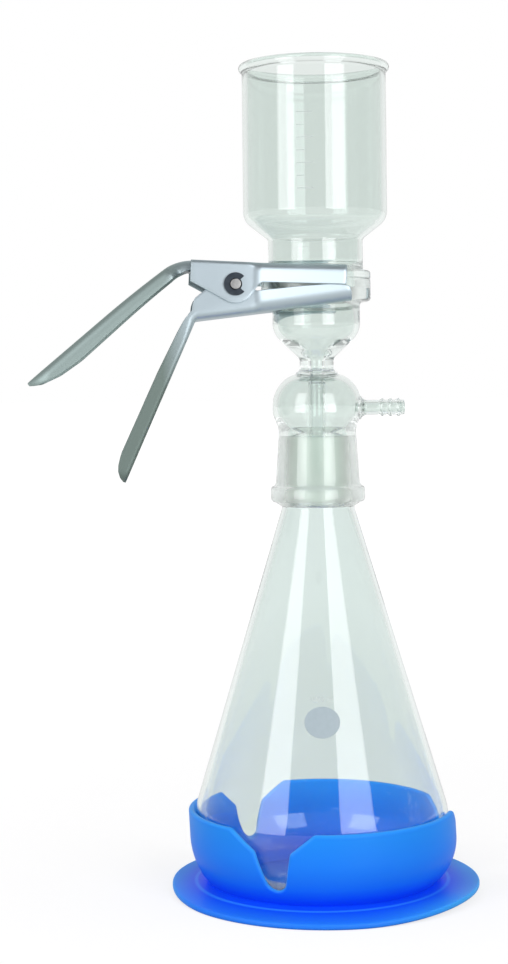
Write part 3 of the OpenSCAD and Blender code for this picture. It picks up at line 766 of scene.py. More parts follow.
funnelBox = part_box("funnel")
funnelSizes = {
    "bottom": funnelBox[0].z / mm,
    "rim": funnelBox[1].z / mm - 2.3,
    "radius": 37.4,
    "wall": 2.4,
    "neckRadius": 24.6,
    "neckTop": 19.75,
    "shoulder": 15.6,
    "bulge": 9.0,
    "hollow": 2.5,
    "flangeRadius": 28.4,
    "flangeThickness": 4.3,
    "flangeRound": (0.5, 1.0),  # lower and upper edge
    "flangeFillet": 0.6,
    "mouth": 20.2,
    "mouthRise": 4.0,
    "bead": 2.3,
    "beadIn": 0.5,  # the bead's centre stands this far inside the outer face
    "rimFillet": 2.5,
    "around": 144,
}


def funnelOutline(s):
    w, bottom, fillet, flange = s["wall"], s["bottom"], s["rimFillet"], s["flangeRadius"]
    flangeTop, neck = bottom + s["flangeThickness"], bottom + s["neckTop"]
    body, (low, high), hollow = neck + s["shoulder"], s["flangeRound"], s["flangeFillet"]
    # the fillet touches the wall and the bead: its drop is a leg of the triangle of the two centres
    drop = math.sqrt((s["bead"] + fillet) ** 2 - (fillet + s["beadIn"]) ** 2)
    lean = math.degrees(math.atan2(drop, -fillet - s["beadIn"]))
    parts = [
        [[s["mouth"], bottom]],
        arc(flange - low, bottom + low, low, -90, 0, 4),
        arc(flange - high, flangeTop - high, high, 0, 90, 6),
        arc(s["neckRadius"] + hollow, flangeTop + hollow, hollow, 270, 180, 5),
        sCurve((s["radius"], body), s["bulge"], (s["neckRadius"], neck), s["hollow"])[::-1],
        arc(s["radius"] + fillet, s["rim"] - drop, fillet, 180, lean, 8),
        arc(s["radius"] - s["beadIn"], s["rim"], s["bead"], lean - 180, 210, 26),
        sCurve((s["radius"] - w, body), s["bulge"] - w, (s["neckRadius"] - w, neck), s["hollow"] + w),
        [[s["neckRadius"] - w, flangeTop + s["mouthRise"]], [s["mouth"], flangeTop]],
    ]
    return fine(np.vstack(parts))


funnelPoints = funnelOutline(funnelSizes)
funnelVerts, funnelFaces = turned(funnelPoints, funnelSizes["around"])
funnelMaterial = (stretchMiddles(funnelPoints)[1] < funnelSizes["bottom"] + 0.01).astype(int)
funnelGlass = makePiece("funnelGlass", funnelVerts, funnelFaces, [clearGlass, groundFace],
                        np.repeat(funnelMaterial, funnelSizes["around"]))
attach(funnelGlass, "stand")
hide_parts("funnel")
print("funnel made")

# marks fired on the glass: an oval writing spot, the volume over it and a short scale on the funnel
markSizes = {
    "proud": 0.06,
    "sunk": 0.03,
    "flaskRow": 40,  # a row of the flask's outline past its heel
    "spotTurn": 1.0,  # degrees to the right of the front
    "spotZ": 94.6,
    "spotHalf": (8.9, 7.8),
    "spotRings": 10,
    "spotAround": 72,
    "volume": "1000 ml",
    "volumeTurn": 0.7,
    "volumeZ": 104.4,
    "volumeSize": 3.7,
    "scaleZ": 360.4,
    "scaleStep": 6.38,
    "scaleLines": 7,
    "lineHeight": 0.42,
    "lineRound": 0.07,
    "lineStart": -14.0,
    "longEnd": -1.3,
    "shortEnd": -8.0,
}


# across turns into an angle about the axis, up climbs the glass's slope, out leaves the glass
def wrapped(across, up, out, radiusAt, turn, middle):
    slope = math.atan2(float(radiusAt(middle + 1) - radiusAt(middle - 1)), 2)
    z = middle + up * math.cos(slope)
    r = radiusAt(z) + out
    a = math.radians(turn - 90) + across / r
    return np.stack([r * np.cos(a), r * np.sin(a), z + 0 * a], -1).reshape(-1, 3) * mm


def flaskRadius(z):
    side = flaskPoints[markSizes["flaskRow"]:topRow]
    return np.interp(z, side[:, 1], side[:, 0])


# oval: circles of growing size under the enamel, its edge, and shrinking circles over it
def spotMesh(s):
    n, a = s["spotRings"], circle(s["spotAround"])
    grow = np.linspace(0, 1, n)
    size = np.concatenate([grow, [1.0, 0.994], grow[::-1][1:]])[:, None]
    out = np.concatenate([np.full(n, -s["sunk"]), [0.6 * s["proud"]], np.full(n, s["proud"])])[:, None]
    across, up = s["spotHalf"][0] * size * np.cos(a), s["spotHalf"][1] * size * np.sin(a)
    verts = wrapped(across, up, out + 0 * a, flaskRadius, s["spotTurn"], s["spotZ"])
    return verts, gridFaces(len(size), len(a))


# line: a low rounded section carried round the funnel, drawn to a point at both ends
def scaleMesh(s, radius):
    half, corner, top, low = s["lineHeight"] / 2, s["lineRound"], s["proud"], -s["sunk"]
    up = np.array([-half, -half, corner - half, half - corner, half, half])
    out = np.array([low, 0.6 * top, top, top, 0.6 * top, low])
    verts, faces = [], []
    for i in range(s["scaleLines"]):
        turn = np.linspace(s["lineStart"], s["shortEnd"] if i % 2 else s["longEnd"], 24)
        turn = np.radians(np.concatenate([turn[:1], turn, turn[-1:]]))[:, None]
        full = np.ones_like(turn)
        full[0] = full[-1] = 0
        verts.append(wrapped(turn * radius, up * full, out * full, lambda z: radius + 0 * z, 0,
                             s["scaleZ"] + i * s["scaleStep"]))
        faces.append(gridFaces(len(turn), len(up)) + i * len(verts[0]))
    return np.vstack(verts), np.vstack(faces)


def volumeMark(s):
    text = bpy.data.curves.new("volume", "FONT")
    text.body, text.size, text.align_x, text.extrude = s["volume"], s["volumeSize"], "CENTER", s["proud"]
    writing = addObject("volumeMark", text)
    mesh = evaluatedMesh(writing)
    bpy.data.objects.remove(writing)
    flat = np.empty(len(mesh.vertices) * 3, np.float32)
    mesh.vertices.foreach_get("co", flat)
    x, y, z = flat.reshape(-1, 3).T
    mesh.vertices.foreach_set("co", wrapped(x, y, z, flaskRadius, s["volumeTurn"], s["volumeZ"]).ravel())
    mesh.materials.clear()
    mesh.materials.append(paleEnamel)
    mergeDoubles(mesh, 1e-7)
    mesh.update()
    return addObject("volumeMark", mesh)


for piece in (makePiece("writingSpot", *spotMesh(markSizes), [shadedSpotEnamel]),
              makePiece("scaleLines", *scaleMesh(markSizes, funnelSizes["radius"]), [paleEnamel]),
              volumeMark(markSizes)):
    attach(piece, "stand")
print("marks made")

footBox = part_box("silicone_foot")
footSizes = {
    "skirtRadius": footBox[1].y / mm,
    "height": footBox[1].z / mm,
    "skirtWidth": 10.5,
    "skirtOff": 1.8,
    "skirtEdge": 3.0,
    "edgeRound": 1.2,
    "underRadii": (0.0, 20.0, 45.0, 70.0),
    "crease": 6.3,
    "floor": 4.0,
    "floorRadii": (25.0, 12.0, 0.0),
    "floorEdge": 38.0,
    "wall": 3.2,
    "bend": 29.7,
    "bendZ": 28.0,
    "heel": 25.3,
    "heelZ": flaskSizes["bottom"] + flaskSizes["heel"],
    "heelShare": 0.985,  # the inner wall starts this far down the heel's circle
    "notches": 3,
    "notchTurn": 250.0,
    "notchTop": 45.0,
    "notchWidth": 18.8,
    "notchRadius": 5.6,
    "notchBottom": 14.2,
    "chamfer": 9.7,
    "kneeRound": 1.2,
    "step": 0.75,
    "lip": 1.4,
    "twist": 2.3,  # degrees that the rim of the soft cup is twisted
    "curl": 2.7,  # the skirt's edge lifts off the floor this far, except at the front left
    "curlFlat": -108.0,  # middle of the stretch that stays down
    "curlStart": 30.0,  # degrees from that middle
    "curlLength": 55.0,
}


# rim of the cup, unrolled: distance along the wall and height, from the middle of a notch to the middle
# of the next one; corners are rounded by averaging the line over a short window
def rimLine(s, radius):
    pitch = 2 * math.pi * radius / s["notches"]
    half, top = s["notchWidth"] / 2, s["notchTop"] / 2
    knee = s["height"] - s["chamfer"]
    r, centre = s["notchRadius"], s["notchBottom"] + s["notchRadius"]
    touch = math.degrees(math.atan2(knee - centre, half) - math.acos(r / math.hypot(half, knee - centre)))
    side = np.vstack([arc(0, centre, r, 270, 360 + touch, 16),
                      [[half, knee], [top, s["height"]], [pitch / 2, s["height"]]]])
    line = np.vstack([side, (side * [-1, 1] + [pitch, 0])[::-1][1:]])
    far = pathLength(line)
    even = np.linspace(0, far[-1], 2 * int(far[-1] / 2 / s["step"]) + 1)
    window = np.linspace(-s["kneeRound"], s["kneeRound"], 21)
    rounded = [np.mean([np.interp(np.clip(even + o, 0, far[-1]), far, line[:, axis]) for o in window], axis=0)
               for axis in (0, 1)]
    return np.column_stack(rounded)[:-1], pitch


# rings of points from the middle of the underside out to the skirt, up the outer wall, over the lip and
# down inside to the middle of the cup's floor
def footGrid(s):
    cupOut, skirt, corner = s["skirtRadius"] - s["skirtWidth"], s["skirtRadius"], s["edgeRound"]
    cupIn = cupOut - s["wall"]
    middle = (cupOut + cupIn) / 2
    line, pitch = rimLine(s, middle)
    rim = np.vstack([line + [i * pitch, 0] for i in range(s["notches"])])
    n, total = len(rim), pitch * s["notches"]
    ahead, behind = np.roll(rim, -1, axis=0), np.roll(rim, 1, axis=0)
    ahead[-1, 0] += total
    behind[0, 0] -= total
    along = ahead - behind
    along /= np.hypot(*along.T)[:, None]
    inward = np.column_stack([along[:, 1], -along[:, 0]])  # points down into the wall
    base = np.arange(n) / n * total  # even spacing under the rim
    rows, lipHighlightShares = [], []

    # wall radius: a circle below its middle's height, upright above
    def wallRadius(z, edge, bend, bendZ, share):
        drop = np.clip(bendZ - z, 0, bend * share)
        return edge - bend + np.sqrt(bend ** 2 - drop ** 2)

    def outer(z):
        return wallRadius(z, cupOut, s["bend"], s["bendZ"], 0.999)

    def inner(z):
        return wallRadius(z, cupIn, s["heel"], s["heelZ"], 0.9999)

    def ring(r, z, x=base, edge=0.0):
        a = x / middle + math.radians(s["notchTurn"])
        r, z = np.broadcast_to(r, n), np.broadcast_to(z, n)
        rows.append(np.column_stack([r * np.cos(a), r * np.sin(a), z]))
        lipHighlightShares.append(edge)

    # rings on a straight slope from one (radius, height) to another
    def slope(start, end, shares):
        for t in shares:
            ring(start[0] + (end[0] - start[0]) * t, start[1] + (end[1] - start[1]) * t)

    # each column of a wall runs straight, when unrolled, from its foot to the lip
    def wall(radiusAt, foot, shares):
        for t in shares:
            z = foot + (lipTop[:, 1] - foot) * t
            ring(radiusAt(z), z, base + (lipTop[:, 0] - base) * t)

    for r in s["underRadii"]:
        ring(r, 0.0)
    lower = arc(skirt - corner, corner, corner, -90, 0, 6)
    upper = arc(skirt - corner, s["skirtEdge"] - corner, corner, 0, 80, 6)
    for r, z in (*lower, *upper[1:]):
        ring(r, z)
    crease = (float(outer(s["crease"])), s["crease"])
    slope(upper[-1], crease, np.linspace(0, 1, 9)[1:-1])
    lipTop = rim + inward * s["lip"]
    wall(outer, s["crease"], np.linspace(0, 1, 26) ** 0.8)
    # lip: half an ellipse across the wall, from the outer face over the rim to the inner face; each ring
    # carries its share of the painted highlight on the lip
    for q in np.radians(np.linspace(0, 180, 13)[1:-1]):
        x, z = (rim + inward * s["lip"] * (1 - math.sin(q))).T
        share = (1 - math.cos(q)) / 2
        ring(outer(z) * (1 - share) + inner(z) * share, z, x, math.sin(q) ** 3)
    low = s["heelZ"] - s["heel"] * s["heelShare"]
    wall(inner, low, np.linspace(0, 1, 26)[::-1] ** 0.8)
    slope((float(inner(low)), low), (s["floorEdge"], s["floor"]), np.linspace(0, 1, 5)[1:])
    for r in s["floorRadii"]:
        ring(r, s["floor"])
    x, y, z = np.vstack(rows).T
    r, a = np.hypot(x, y), np.arctan2(y, x)
    # the cup twists with height
    high = np.clip((z - s["crease"]) / (s["height"] - s["crease"]), 0, 1)
    a = a - np.radians(s["twist"]) * high
    # the skirt stands off centre, and its edge lifts smoothly away from the stretch that stays down
    far = np.clip((r - crease[0]) / (skirt - crease[0]), 0, 1)
    x, y = r * np.cos(a) + s["skirtOff"] * np.clip(2 * far, 0, 1) * (1 - high), r * np.sin(a)
    away = np.abs((np.degrees(a) - s["curlFlat"] + 180) % 360 - 180)
    lift = far ** 2 * (1 - high) * smooth(np.clip((away - s["curlStart"]) / s["curlLength"], 0, 1))
    verts = np.column_stack([x, y, z + s["curl"] * lift]) * mm
    return verts, gridFaces(len(rows), n), {"lipHighlight": np.repeat(lipHighlightShares, n), "lift": lift}


footVerts, footFaces, footMasks = footGrid(footSizes)
footCup = makePiece("footCup", footVerts, footFaces, [blueSilicone], sharp=50, merge=0)
for name, mask in footMasks.items():
    footCup.data.attributes.new(name, "FLOAT", "POINT").data.foreach_set("value", mask.astype(np.float32))
mergeDoubles(footCup.data, 1e-6)
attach(footCup, "stand")
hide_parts("silicone_foot")
print("foot made")

clampSizes = {
    "sheet": 1.2,
    "round": 0.3,
    "yaw": 5.0,
    "reach": 42.8,  # from the pivot to the glass axis
    "pivotZ": 313.15,
    "cut": 25.5,
    "earEnd": -23.0,
    "flareX": 10.5,
    "flare": 21.70,
    "earHalf": 22.4,
    "upperTilt": 3.0,
    "lowerTilt": -6.5,
}


# turns the jaw's own tilt and the clamp's yaw, then moves the pivot to its place
def placeClamp(points, tilt=0):
    s = clampSizes
    t, y = math.radians(tilt), math.radians(s["yaw"])
    x, w, z = points[..., 0], points[..., 1], points[..., 2]
    x, z = x * math.cos(t) + z * math.sin(t) - s["reach"], z * math.cos(t) - x * math.sin(t) + s["pivotZ"]
    return np.stack([x * math.cos(y) - w * math.sin(y), x * math.sin(y) + w * math.cos(y), z], -1) * mm


pinAxis = (tuple(placeClamp(np.zeros(3))), math.radians(clampSizes["yaw"]))
sheetLook = {
    "low": (0.50, 0.60, 0.64),
    "high": (0.58, 0.68, 0.725),
    # painted shade: the handles' colours, the lower one darkest, stand in for the shade on them
    "upperPaintedShade": (0.36, 0.45, 0.43),
    "lowerPaintedShade": (0.205, 0.262, 0.238),
    "rough": (0.36, 0.48),
    "paintedShadeAndWearX": (-0.078, -0.060),  # x between which the handles' painted shade and wear give way to the bright sheet
    "wornRough": 0.14,
    "gap": (3.25, 3.5),  # painted shade of the clearance round the pin
    "pinGapShade": (0.01, 0.011, 0.013),
    "bump": (0.08, 0.00001),
}
pinLook = {
    "low": (0.30, 0.31, 0.3),
    "high": (0.52, 0.53, 0.52),
    "rough": (0.35, 0.5),
    # painted shade: the dark rim round the pin's end
    "rim": (2.5, 2.7),
    "paintedRimShade": (0.015, 0.016, 0.018),
}
upperAluminium, lowerAluminium = [
    makeSheet(name, sheetLook[handlePaintedShade], sheetLook, pinAxis)
    for name, handlePaintedShade in (("upper satin aluminium", "upperPaintedShade"), ("lower satin aluminium", "lowerPaintedShade"))]
pinSteel = makePin("pin steel", pinLook, pinAxis)


# half of a jaw's sheet. A station holds path x and z, the inward normal x and z, inner and outer half width,
# wall depth, bend radius and inset. The section runs from the inner edge along the web, round the bend and
# down the wall to its free edge, once on the outer face and once on the inner face, with rounded edges;
# share gives the web's columns as parts of its width
def jawHalf(stations, side, share):
    px, pz, nx, nz, inner, outer, depth, bend, inset = [stations[:, i, None] for i in range(9)]
    t = clampSizes["sheet"] - 2 * inset
    e = np.minimum(clampSizes["round"], 0.45 * t)
    eIn = np.minimum(e, inner / 2)
    c, o, low = inner + np.minimum(inset, inner), outer - inset, depth - inset
    r = np.clip(np.minimum(bend - inset, low - inset - e), t + 0.05, None)
    q = np.radians(np.linspace(0, 90, 4))
    a = np.radians(np.linspace(0, 90, 9))[1:]
    v = np.linspace(0, 1, 9)[1:]
    end = o - r
    webY = c + eIn + (end - c - eIn) * share[:, 1:]
    wallD = inset + r + (low - e - inset - r) * v
    skins = []
    for radius, wallY, webD, turn in ((r, o, inset, 1), (r - t, o - t, inset + t, -1)):
        y = np.hstack([c, c + eIn - eIn * np.cos(q), webY, end + radius * np.sin(a), wallY + 0 * v,
                       wallY - turn * (e - e * np.cos(q[1:])), o - t / 2])
        d = np.hstack([inset + t / 2, webD + turn * (eIn - eIn * np.sin(q)), 0 * webY + webD,
                       inset + r - radius * np.cos(a), wallD, low - e + e * np.sin(q[1:]), low])
        skins.append(np.stack([px + nx * d, side * y, pz + nz * d], -1))
    return skins


# the last row replaced by rows moved back and inset along a quarter circle, so that the cut end is rounded
def roundEnd(rows):
    e, last = clampSizes["round"], rows[-1]
    back = last[:2] - rows[-2][:2]
    back = back / np.hypot(*back)
    made = np.tile(last, (4, 1))
    for row, q in zip(made, np.radians([0, 30, 60, 90])):
        row[:2] = last[:2] - back * e * (1 - math.sin(q))
        row[8] = e * (1 - math.cos(q)) * 0.9
    return np.vstack([rows[:-1], made])


# how far a rounded corner draws the side in, by the distance left to the end
def cornerInset(left, corner):
    return corner - np.sqrt(np.clip(corner ** 2 - np.clip(corner - left, 0, corner) ** 2, 0, None))


def evenShare(stations, columns):
    return np.tile(np.linspace(0, 1, columns + 1), (len(stations), 1))


def cleanSheet(bm):
    bmesh.ops.dissolve_degenerate(bm, edges=bm.edges, dist=1e-7)
    bmesh.ops.recalc_face_normals(bm, faces=bm.faces)


# the sheet closed by strips between its two faces, at the given rows and from the given column on
def jawPiece(name, blocks, tilt, material):
    parts, faces, offset = [], [], 0
    for stations, share, caps in blocks:
        for side in (1, -1):
            skins = jawHalf(stations, side, share)
            rows, columns = skins[0].shape[:2]
            size = rows * columns
            cell = gridFaces(rows, columns, closedColumns=False)
            faces += [cell + offset, cell[:, ::-1] + offset + size]
            for row, first in caps:
                k = np.arange(first, columns - 1) + row * columns + offset
                faces.append(np.stack([k, k + 1, k + 1 + size, k + size], -1))
            parts += [skin.reshape(-1, 3) for skin in skins]
            offset += 2 * size
    flat, faces = np.vstack(parts), np.vstack(faces)
    # strips inside the sheet, where both halves meet, are left out
    hidden = np.all(np.abs(flat[faces][..., 1]) < 1e-6, axis=1)
    piece = makePiece(name, placeClamp(flat, tilt), faces[~hidden], [material], sharp=0, merge=1.5e-6)
    editMesh(piece.data, cleanSheet)
    piece.data.set_sharp_from_angle(angle=math.radians(45))
    return piece


upperSizes = {
    "web": 11.557,
    "tip": 54.8,
    "earRadius": 9.7,
    "armDepth": 10.0,
    "kink": 22.0,
    "lead": 0.9,  # the bend starts this far ahead of the ears' end
    "kinkTurn": 39.25,
    "sweep": 600.0,
    "gripFall": 43.05,
    "reach": 103.9,
    "gripHalf": 19.6,
    "neckHalf": 15.1,
    "neckLength": 7.0,
    "corner": 13.0,
    # distance left to the handle's tip and depth of the handle's walls there; the last two are at its neck
    "gripDepth": ((0, 1.9), (4.5, 4.7), (15, 7.5), (28, 8.7), (52, 8.1), (92, 6.6)),
    "neckDepth": (6.0, 5.0),
    "backZ": 0.5,
    "earTurn": (237, 338),
    "hollow": 4.0,
    "hollowStep": 5.0,
    "joinLength": 12.0,
    "bend": 2.2,
    "armBend": 4.5,
    "gripBend": 5.5,
    "columns": (10, 5),  # across the web, inside and outside the handle's width
}


# free edge of the upper jaw's walls: straight arm, hollow, round ear under the pin, slanted ear
def upperEdge(x, s, c):
    low, hollow = s["web"] - s["armDepth"], s["hollow"]
    line = np.vstack([[[c["earEnd"], s["backZ"]]], arc(0, 0, s["earRadius"], *s["earTurn"], 40),
                      arc(s["earRadius"] + s["hollowStep"], low - hollow, hollow, 160, 90, 12),
                      [[s["tip"], low]]])
    return np.interp(x, line[:, 0], line[:, 1])


# stations along the ears and arms, from back to the arms' tips; sign is 1 for the upper jaw
def armRows(c, s, back, half, edge, sign):
    start, tip, web = c["reach"] - c["cut"], s["tip"], sign * s["web"]
    a = np.radians(np.linspace(0, 90, 41))
    x = np.concatenate([np.linspace(back, -12, 12), np.linspace(-12, 16, 56)[1:],
                        np.linspace(16, start, 5)[1:], (c["reach"] - c["cut"] * np.cos(a))[1:],
                        np.linspace(c["reach"], tip - 0.4, 10)[1:], [tip]])
    opened = np.sqrt(np.clip(c["cut"] ** 2 - np.clip(c["reach"] - x, 0, None) ** 2, 0, None))
    cut = np.where(x > start, opened, 0)
    grown = np.clip(x - c["flareX"], -2, None)
    grown = np.where(grown < 2, (grown + 2) ** 2 / 8, grown)  # a short bend where the flare starts
    outer = half + grown * math.tan(math.radians(c["flare"]))
    bend = s["bend"] + (s["armBend"] - s["bend"]) * np.clip((x - c["flareX"] + 4) / 6, 0, 1)
    return roundEnd(np.column_stack([x, web + 0 * x, 0 * x, 0 * x - sign, cut, outer,
                                     np.abs(web - edge(x, s, c)), bend, 0 * x]))


def upperGripRows(s, c):
    kx, kz = c["earEnd"] + s["lead"], s["web"] - s["kink"]
    k, g = math.radians(s["kinkTurn"]), math.radians(s["gripFall"])
    sx, sz = kx - (s["kink"] - s["sweep"]) * math.sin(k), kz + (s["kink"] - s["sweep"]) * math.cos(k)
    ex, ez = sx - s["sweep"] * math.sin(g), sz + s["sweep"] * math.cos(g)
    turn = np.linspace(math.asin(s["lead"] / s["kink"]), k, 17)
    sweep = np.radians(np.linspace(s["kinkTurn"], s["gripFall"], 21))[1:]
    run = np.concatenate([np.linspace(0, 0.6, 16)[1:], 0.6 + 0.4 * np.linspace(0, 1, 25)[1:] ** 0.8])
    run = run * (s["reach"] + ex) / math.cos(g)
    x = np.concatenate([kx - s["kink"] * np.sin(turn), sx - s["sweep"] * np.sin(sweep),
                        ex - run * math.cos(g)])
    z = np.concatenate([kz + s["kink"] * np.cos(turn), sz + s["sweep"] * np.cos(sweep),
                        ez - run * math.sin(g)])
    a = np.concatenate([turn, sweep, np.full(len(run), g)])
    x[0], z[0], a[0] = c["earEnd"], s["web"], 0
    far = pathLength(np.column_stack([x, z]))
    left = far[-1] - far  # distance to the handle's tip
    widen = smooth(np.clip((c["earEnd"] - s["neckLength"] - x) / s["neckLength"], 0, 1))
    half = s["neckHalf"] + (s["gripHalf"] - s["neckHalf"]) * widen - cornerInset(left, s["corner"]) * 0.9
    at, depth = zip(*s["gripDepth"])
    depth = np.interp(left, [*at, far[-1] - s["neckLength"], far[-1]], [*depth, *s["neckDepth"]])
    return roundEnd(np.column_stack([x, z, np.sin(a), -np.cos(a), 0 * x, half, depth,
                                     s["gripBend"] + 0 * x, 0 * x]))


upperStations = armRows(clampSizes, upperSizes, clampSizes["earEnd"], clampSizes["earHalf"], upperEdge, 1)
upperGrip = upperGripRows(upperSizes, clampSizes)
# near the ear's end the arms' web columns move to the handle's, so that both share their first row
inside, outside = upperSizes["columns"]
rounding = 5  # columns round the sheet's inner edge, before the web's
meet = (upperSizes["neckHalf"] - upperSizes["gripBend"]) / (clampSizes["earHalf"] - upperSizes["bend"])
joined = np.concatenate([np.linspace(0, meet, inside + 1), np.linspace(meet, 1, outside + 1)[1:]])
away = np.clip((upperStations[:, 0] - clampSizes["earEnd"]) / upperSizes["joinLength"], 0, 1)[:, None]
upperShare = joined * (1 - away) + evenShare(upperStations, inside + outside) * away
upperClamp = jawPiece("upperClamp", [
    (upperStations, upperShare, [(0, rounding + inside), (len(upperStations) - 1, 0)]),
    (upperGrip, evenShare(upperGrip, inside), [(0, rounding + inside - 1), (len(upperGrip) - 1, 0)]),
], clampSizes["upperTilt"], upperAluminium)

lowerSizes = {
    "web": 15.709,
    "tip": 56.4,
    "earHalf": 20.85,
    "earRadius": 8.5,
    "bend": 4.0,
    "armBend": 6.0,
    "gripBend": 2.2,
    "turn": 2.5,
    "lead": 2.3,  # the handle's bend starts this far ahead of the ears' end
    "gripFall": 59.55,
    "gripLength": 88.8,
    "gripDepth": 7.9,
    "corner": 6.0,
    # the walls' free edge round the bend is the ears' slanted back edge: angle about the bend's centre, depth
    "bendDepth": ((92.1, 11.3), (99.5, 9.05), (106.5, 6.7), (110, 5.75), (136, 5.1)),
    # what the walls' depth lacks along the handle, by distance from the bend and by distance left to the tip
    "startLack": ((0, 2.4), (6, 1.8), (30, 0.6)),
    "endLack": ((12, 0), (7, 0.9), (4, 2.1), (1.6, 4.1), (0, 6.1)),
    "columns": 14,
    # free edge: the slanted back's end from the ears' end, the ear, the flare's start, the arm from the reach
    "back": (1.8, -4.4),
    "earTurn": (150, -20),
    "flareZ": -4.6,
    "arm": ((-9.4, -5.3), (4.6, -6.2)),
    "tipRound": 3.0,
    "tipZ": -10.5,
}


# free edge of the lower jaw's walls: slanted back, round ear over the pin, arm, rounded tip
def lowerEdge(x, s, c):
    back, arm, corner = s["back"], [[c["reach"] + dx, z] for dx, z in s["arm"]], s["tipRound"]
    line = np.vstack([[[c["earEnd"] + back[0], back[1]]], arc(0, 0, s["earRadius"], *s["earTurn"], 50),
                      [[c["flareX"], s["flareZ"]], *arm],
                      arc(s["tip"] - corner, s["tipZ"], corner, 85, 0, 10)])
    return np.interp(x, line[:, 0], line[:, 1])


def lowerGripRows(s, c):
    cx, cz = c["earEnd"] + s["lead"], -s["web"] - s["turn"]
    fan = 90 + np.linspace(0, 1, 31) ** 1.3 * s["gripFall"]
    turn, g = np.radians(fan), math.radians(s["gripFall"])
    run = s["gripLength"] * np.concatenate([
        np.linspace(start, end, n)[1:] for start, end, n in ((0, 0.1, 5), (0.1, 0.8, 18), (0.8, 1.0, 22))])
    x, z = cx + s["turn"] * np.cos(turn), cz + s["turn"] * np.sin(turn)
    nx = np.concatenate([np.cos(turn), np.full(len(run), -math.sin(g))])
    nz = np.concatenate([np.sin(turn), np.full(len(run), math.cos(g))])
    x = np.concatenate([x, x[-1] - run * math.cos(g)])
    z = np.concatenate([z, z[-1] - run * math.sin(g)])
    far = pathLength(np.column_stack([x, z]))
    half = s["earHalf"] - cornerInset(far[-1] - far, s["corner"]) * 0.95
    at, depth = zip(*s["bendDepth"])
    first, last = s["web"] + float(lowerEdge(cx, s, c)), s["gripDepth"] - s["startLack"][0][1]
    aroundBend = np.interp(fan, [90, *at, 90 + s["gripFall"]], [first, *depth, last])
    at = [s["turn"] * g + d for d, lack in s["startLack"]] + [far[-1] - d for d, lack in s["endLack"]]
    lacks = np.array([lack for d, lack in s["startLack"] + s["endLack"]])
    depth = np.concatenate([aroundBend, np.interp(far[len(fan):], at, s["gripDepth"] - lacks)])
    bend = np.interp(far, [0, 12], [s["bend"], s["gripBend"]])
    return roundEnd(np.column_stack([x, z, nx, nz, 0 * x, half, depth, bend, 0 * x]))


lowerArms = armRows(clampSizes, lowerSizes, clampSizes["earEnd"] + lowerSizes["lead"], lowerSizes["earHalf"],
                    lowerEdge, -1)
lowerStations = np.vstack([lowerGripRows(lowerSizes, clampSizes)[::-1], lowerArms])
lowerClamp = jawPiece("lowerClamp", [
    (lowerStations, evenShare(lowerStations, lowerSizes["columns"]), [(0, 0), (len(lowerStations) - 1, 0)]),
], clampSizes["lowerTilt"], lowerAluminium)
for piece, node, body in ((upperClamp, "upper_jaw", "clamp_lever"), (lowerClamp, "lower_jaw", "stand")):
    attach(piece, body)
    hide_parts(node)
print("clamp made")

pinSizes = {
    "radius": 2.8,
    "round": 0.5,
    "groove": 2.1,
    "end": 25.2,
    "around": 64,
    "ringY": 22.6,
    "ringThickness": 1.0,
    "ringRadius": 5.9,
    "ringGap": 0.2,
    "play": 0.05,
    "mouth": 42.0,
    "prongs": (288, 180, 72),
    "prongHalf": 1.1,
    "bevel": 0.15,
}


def pinOutline(s):
    r, g, e, y, play = s["radius"], s["groove"], s["end"], s["ringY"], s["play"]
    far = y + s["ringThickness"] + play
    half = np.vstack([[[0, e]], arc(r - s["round"], e - s["round"], s["round"], 90, 0, 6),
                      [[r, far], [g, far], [g, y - play], [r, y - play]]])
    return np.vstack([half, (half * [1, -1])[::-1]])


pinPoints = pinOutline(pinSizes)
x, z, y = spun(pinPoints, pinSizes["around"])
pivotPin = makePiece("pivotPin", placeClamp(np.column_stack([x, y, z])),
                     gridFaces(len(pinPoints), pinSizes["around"]), [pinSteel], sharp=30)
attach(pivotPin, "stand")
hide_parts("pivot_pin")


# open ring: outer circle, then the inner edge back from the mouth's lower side, with prongs that reach
# in to the groove, as a closed plan outline
def ringPlan(s):
    outer, inner, groove, m = s["ringRadius"], s["radius"] + s["ringGap"], s["groove"] + s["play"], s["mouth"]
    width, tip = math.degrees(s["prongHalf"] / inner), math.degrees(s["prongHalf"] / groove)
    plan, at = [arc(0, 0, outer, m, 360 - m, 60)], 360 - m
    for prong in s["prongs"]:
        plan += [arc(0, 0, inner, at, min(at, prong + width), 8),
                 arc(0, 0, groove, prong + tip, prong - tip, 6)]
        at = prong - width
    return np.vstack([*plan, arc(0, 0, inner, at, m, 8)])


def ringPiece(name, side, s):
    near, far = side * s["ringY"], side * (s["ringY"] + s["ringThickness"])
    shift = Vector(placeClamp(np.array([0, far, 0.0]))) - Vector(placeClamp(np.array([0, near, 0.0])))

    def fill(bm):
        base = [bm.verts.new(p) for p in placeClamp(np.insert(ringPlan(s), 1, near, axis=1))]
        made = bmesh.ops.extrude_face_region(bm, geom=[bm.faces.new(base)])
        moved = [v for v in made["geom"] if isinstance(v, bmesh.types.BMVert)]
        bmesh.ops.translate(bm, verts=moved, vec=shift)
        bmesh.ops.remove_doubles(bm, verts=bm.verts, dist=1e-6)
        bmesh.ops.recalc_face_normals(bm, faces=bm.faces)

    data = bpy.data.meshes.new(name)
    editMesh(data, fill)
    data.materials.append(clipSteel)
    piece = addObject(name, data)
    edges = piece.modifiers.new("edges", "BEVEL")
    edges.width, edges.segments, edges.limit_method = s["bevel"] * mm, 2, "ANGLE"
    edges.angle_limit = math.radians(40)
    return piece


for name, side, node in (("frontClip", -1, "front_ring"), ("rearClip", 1, "rear_ring")):
    clip = ringPiece(name, side, pinSizes)
    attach(clip, "stand")
    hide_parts(node)

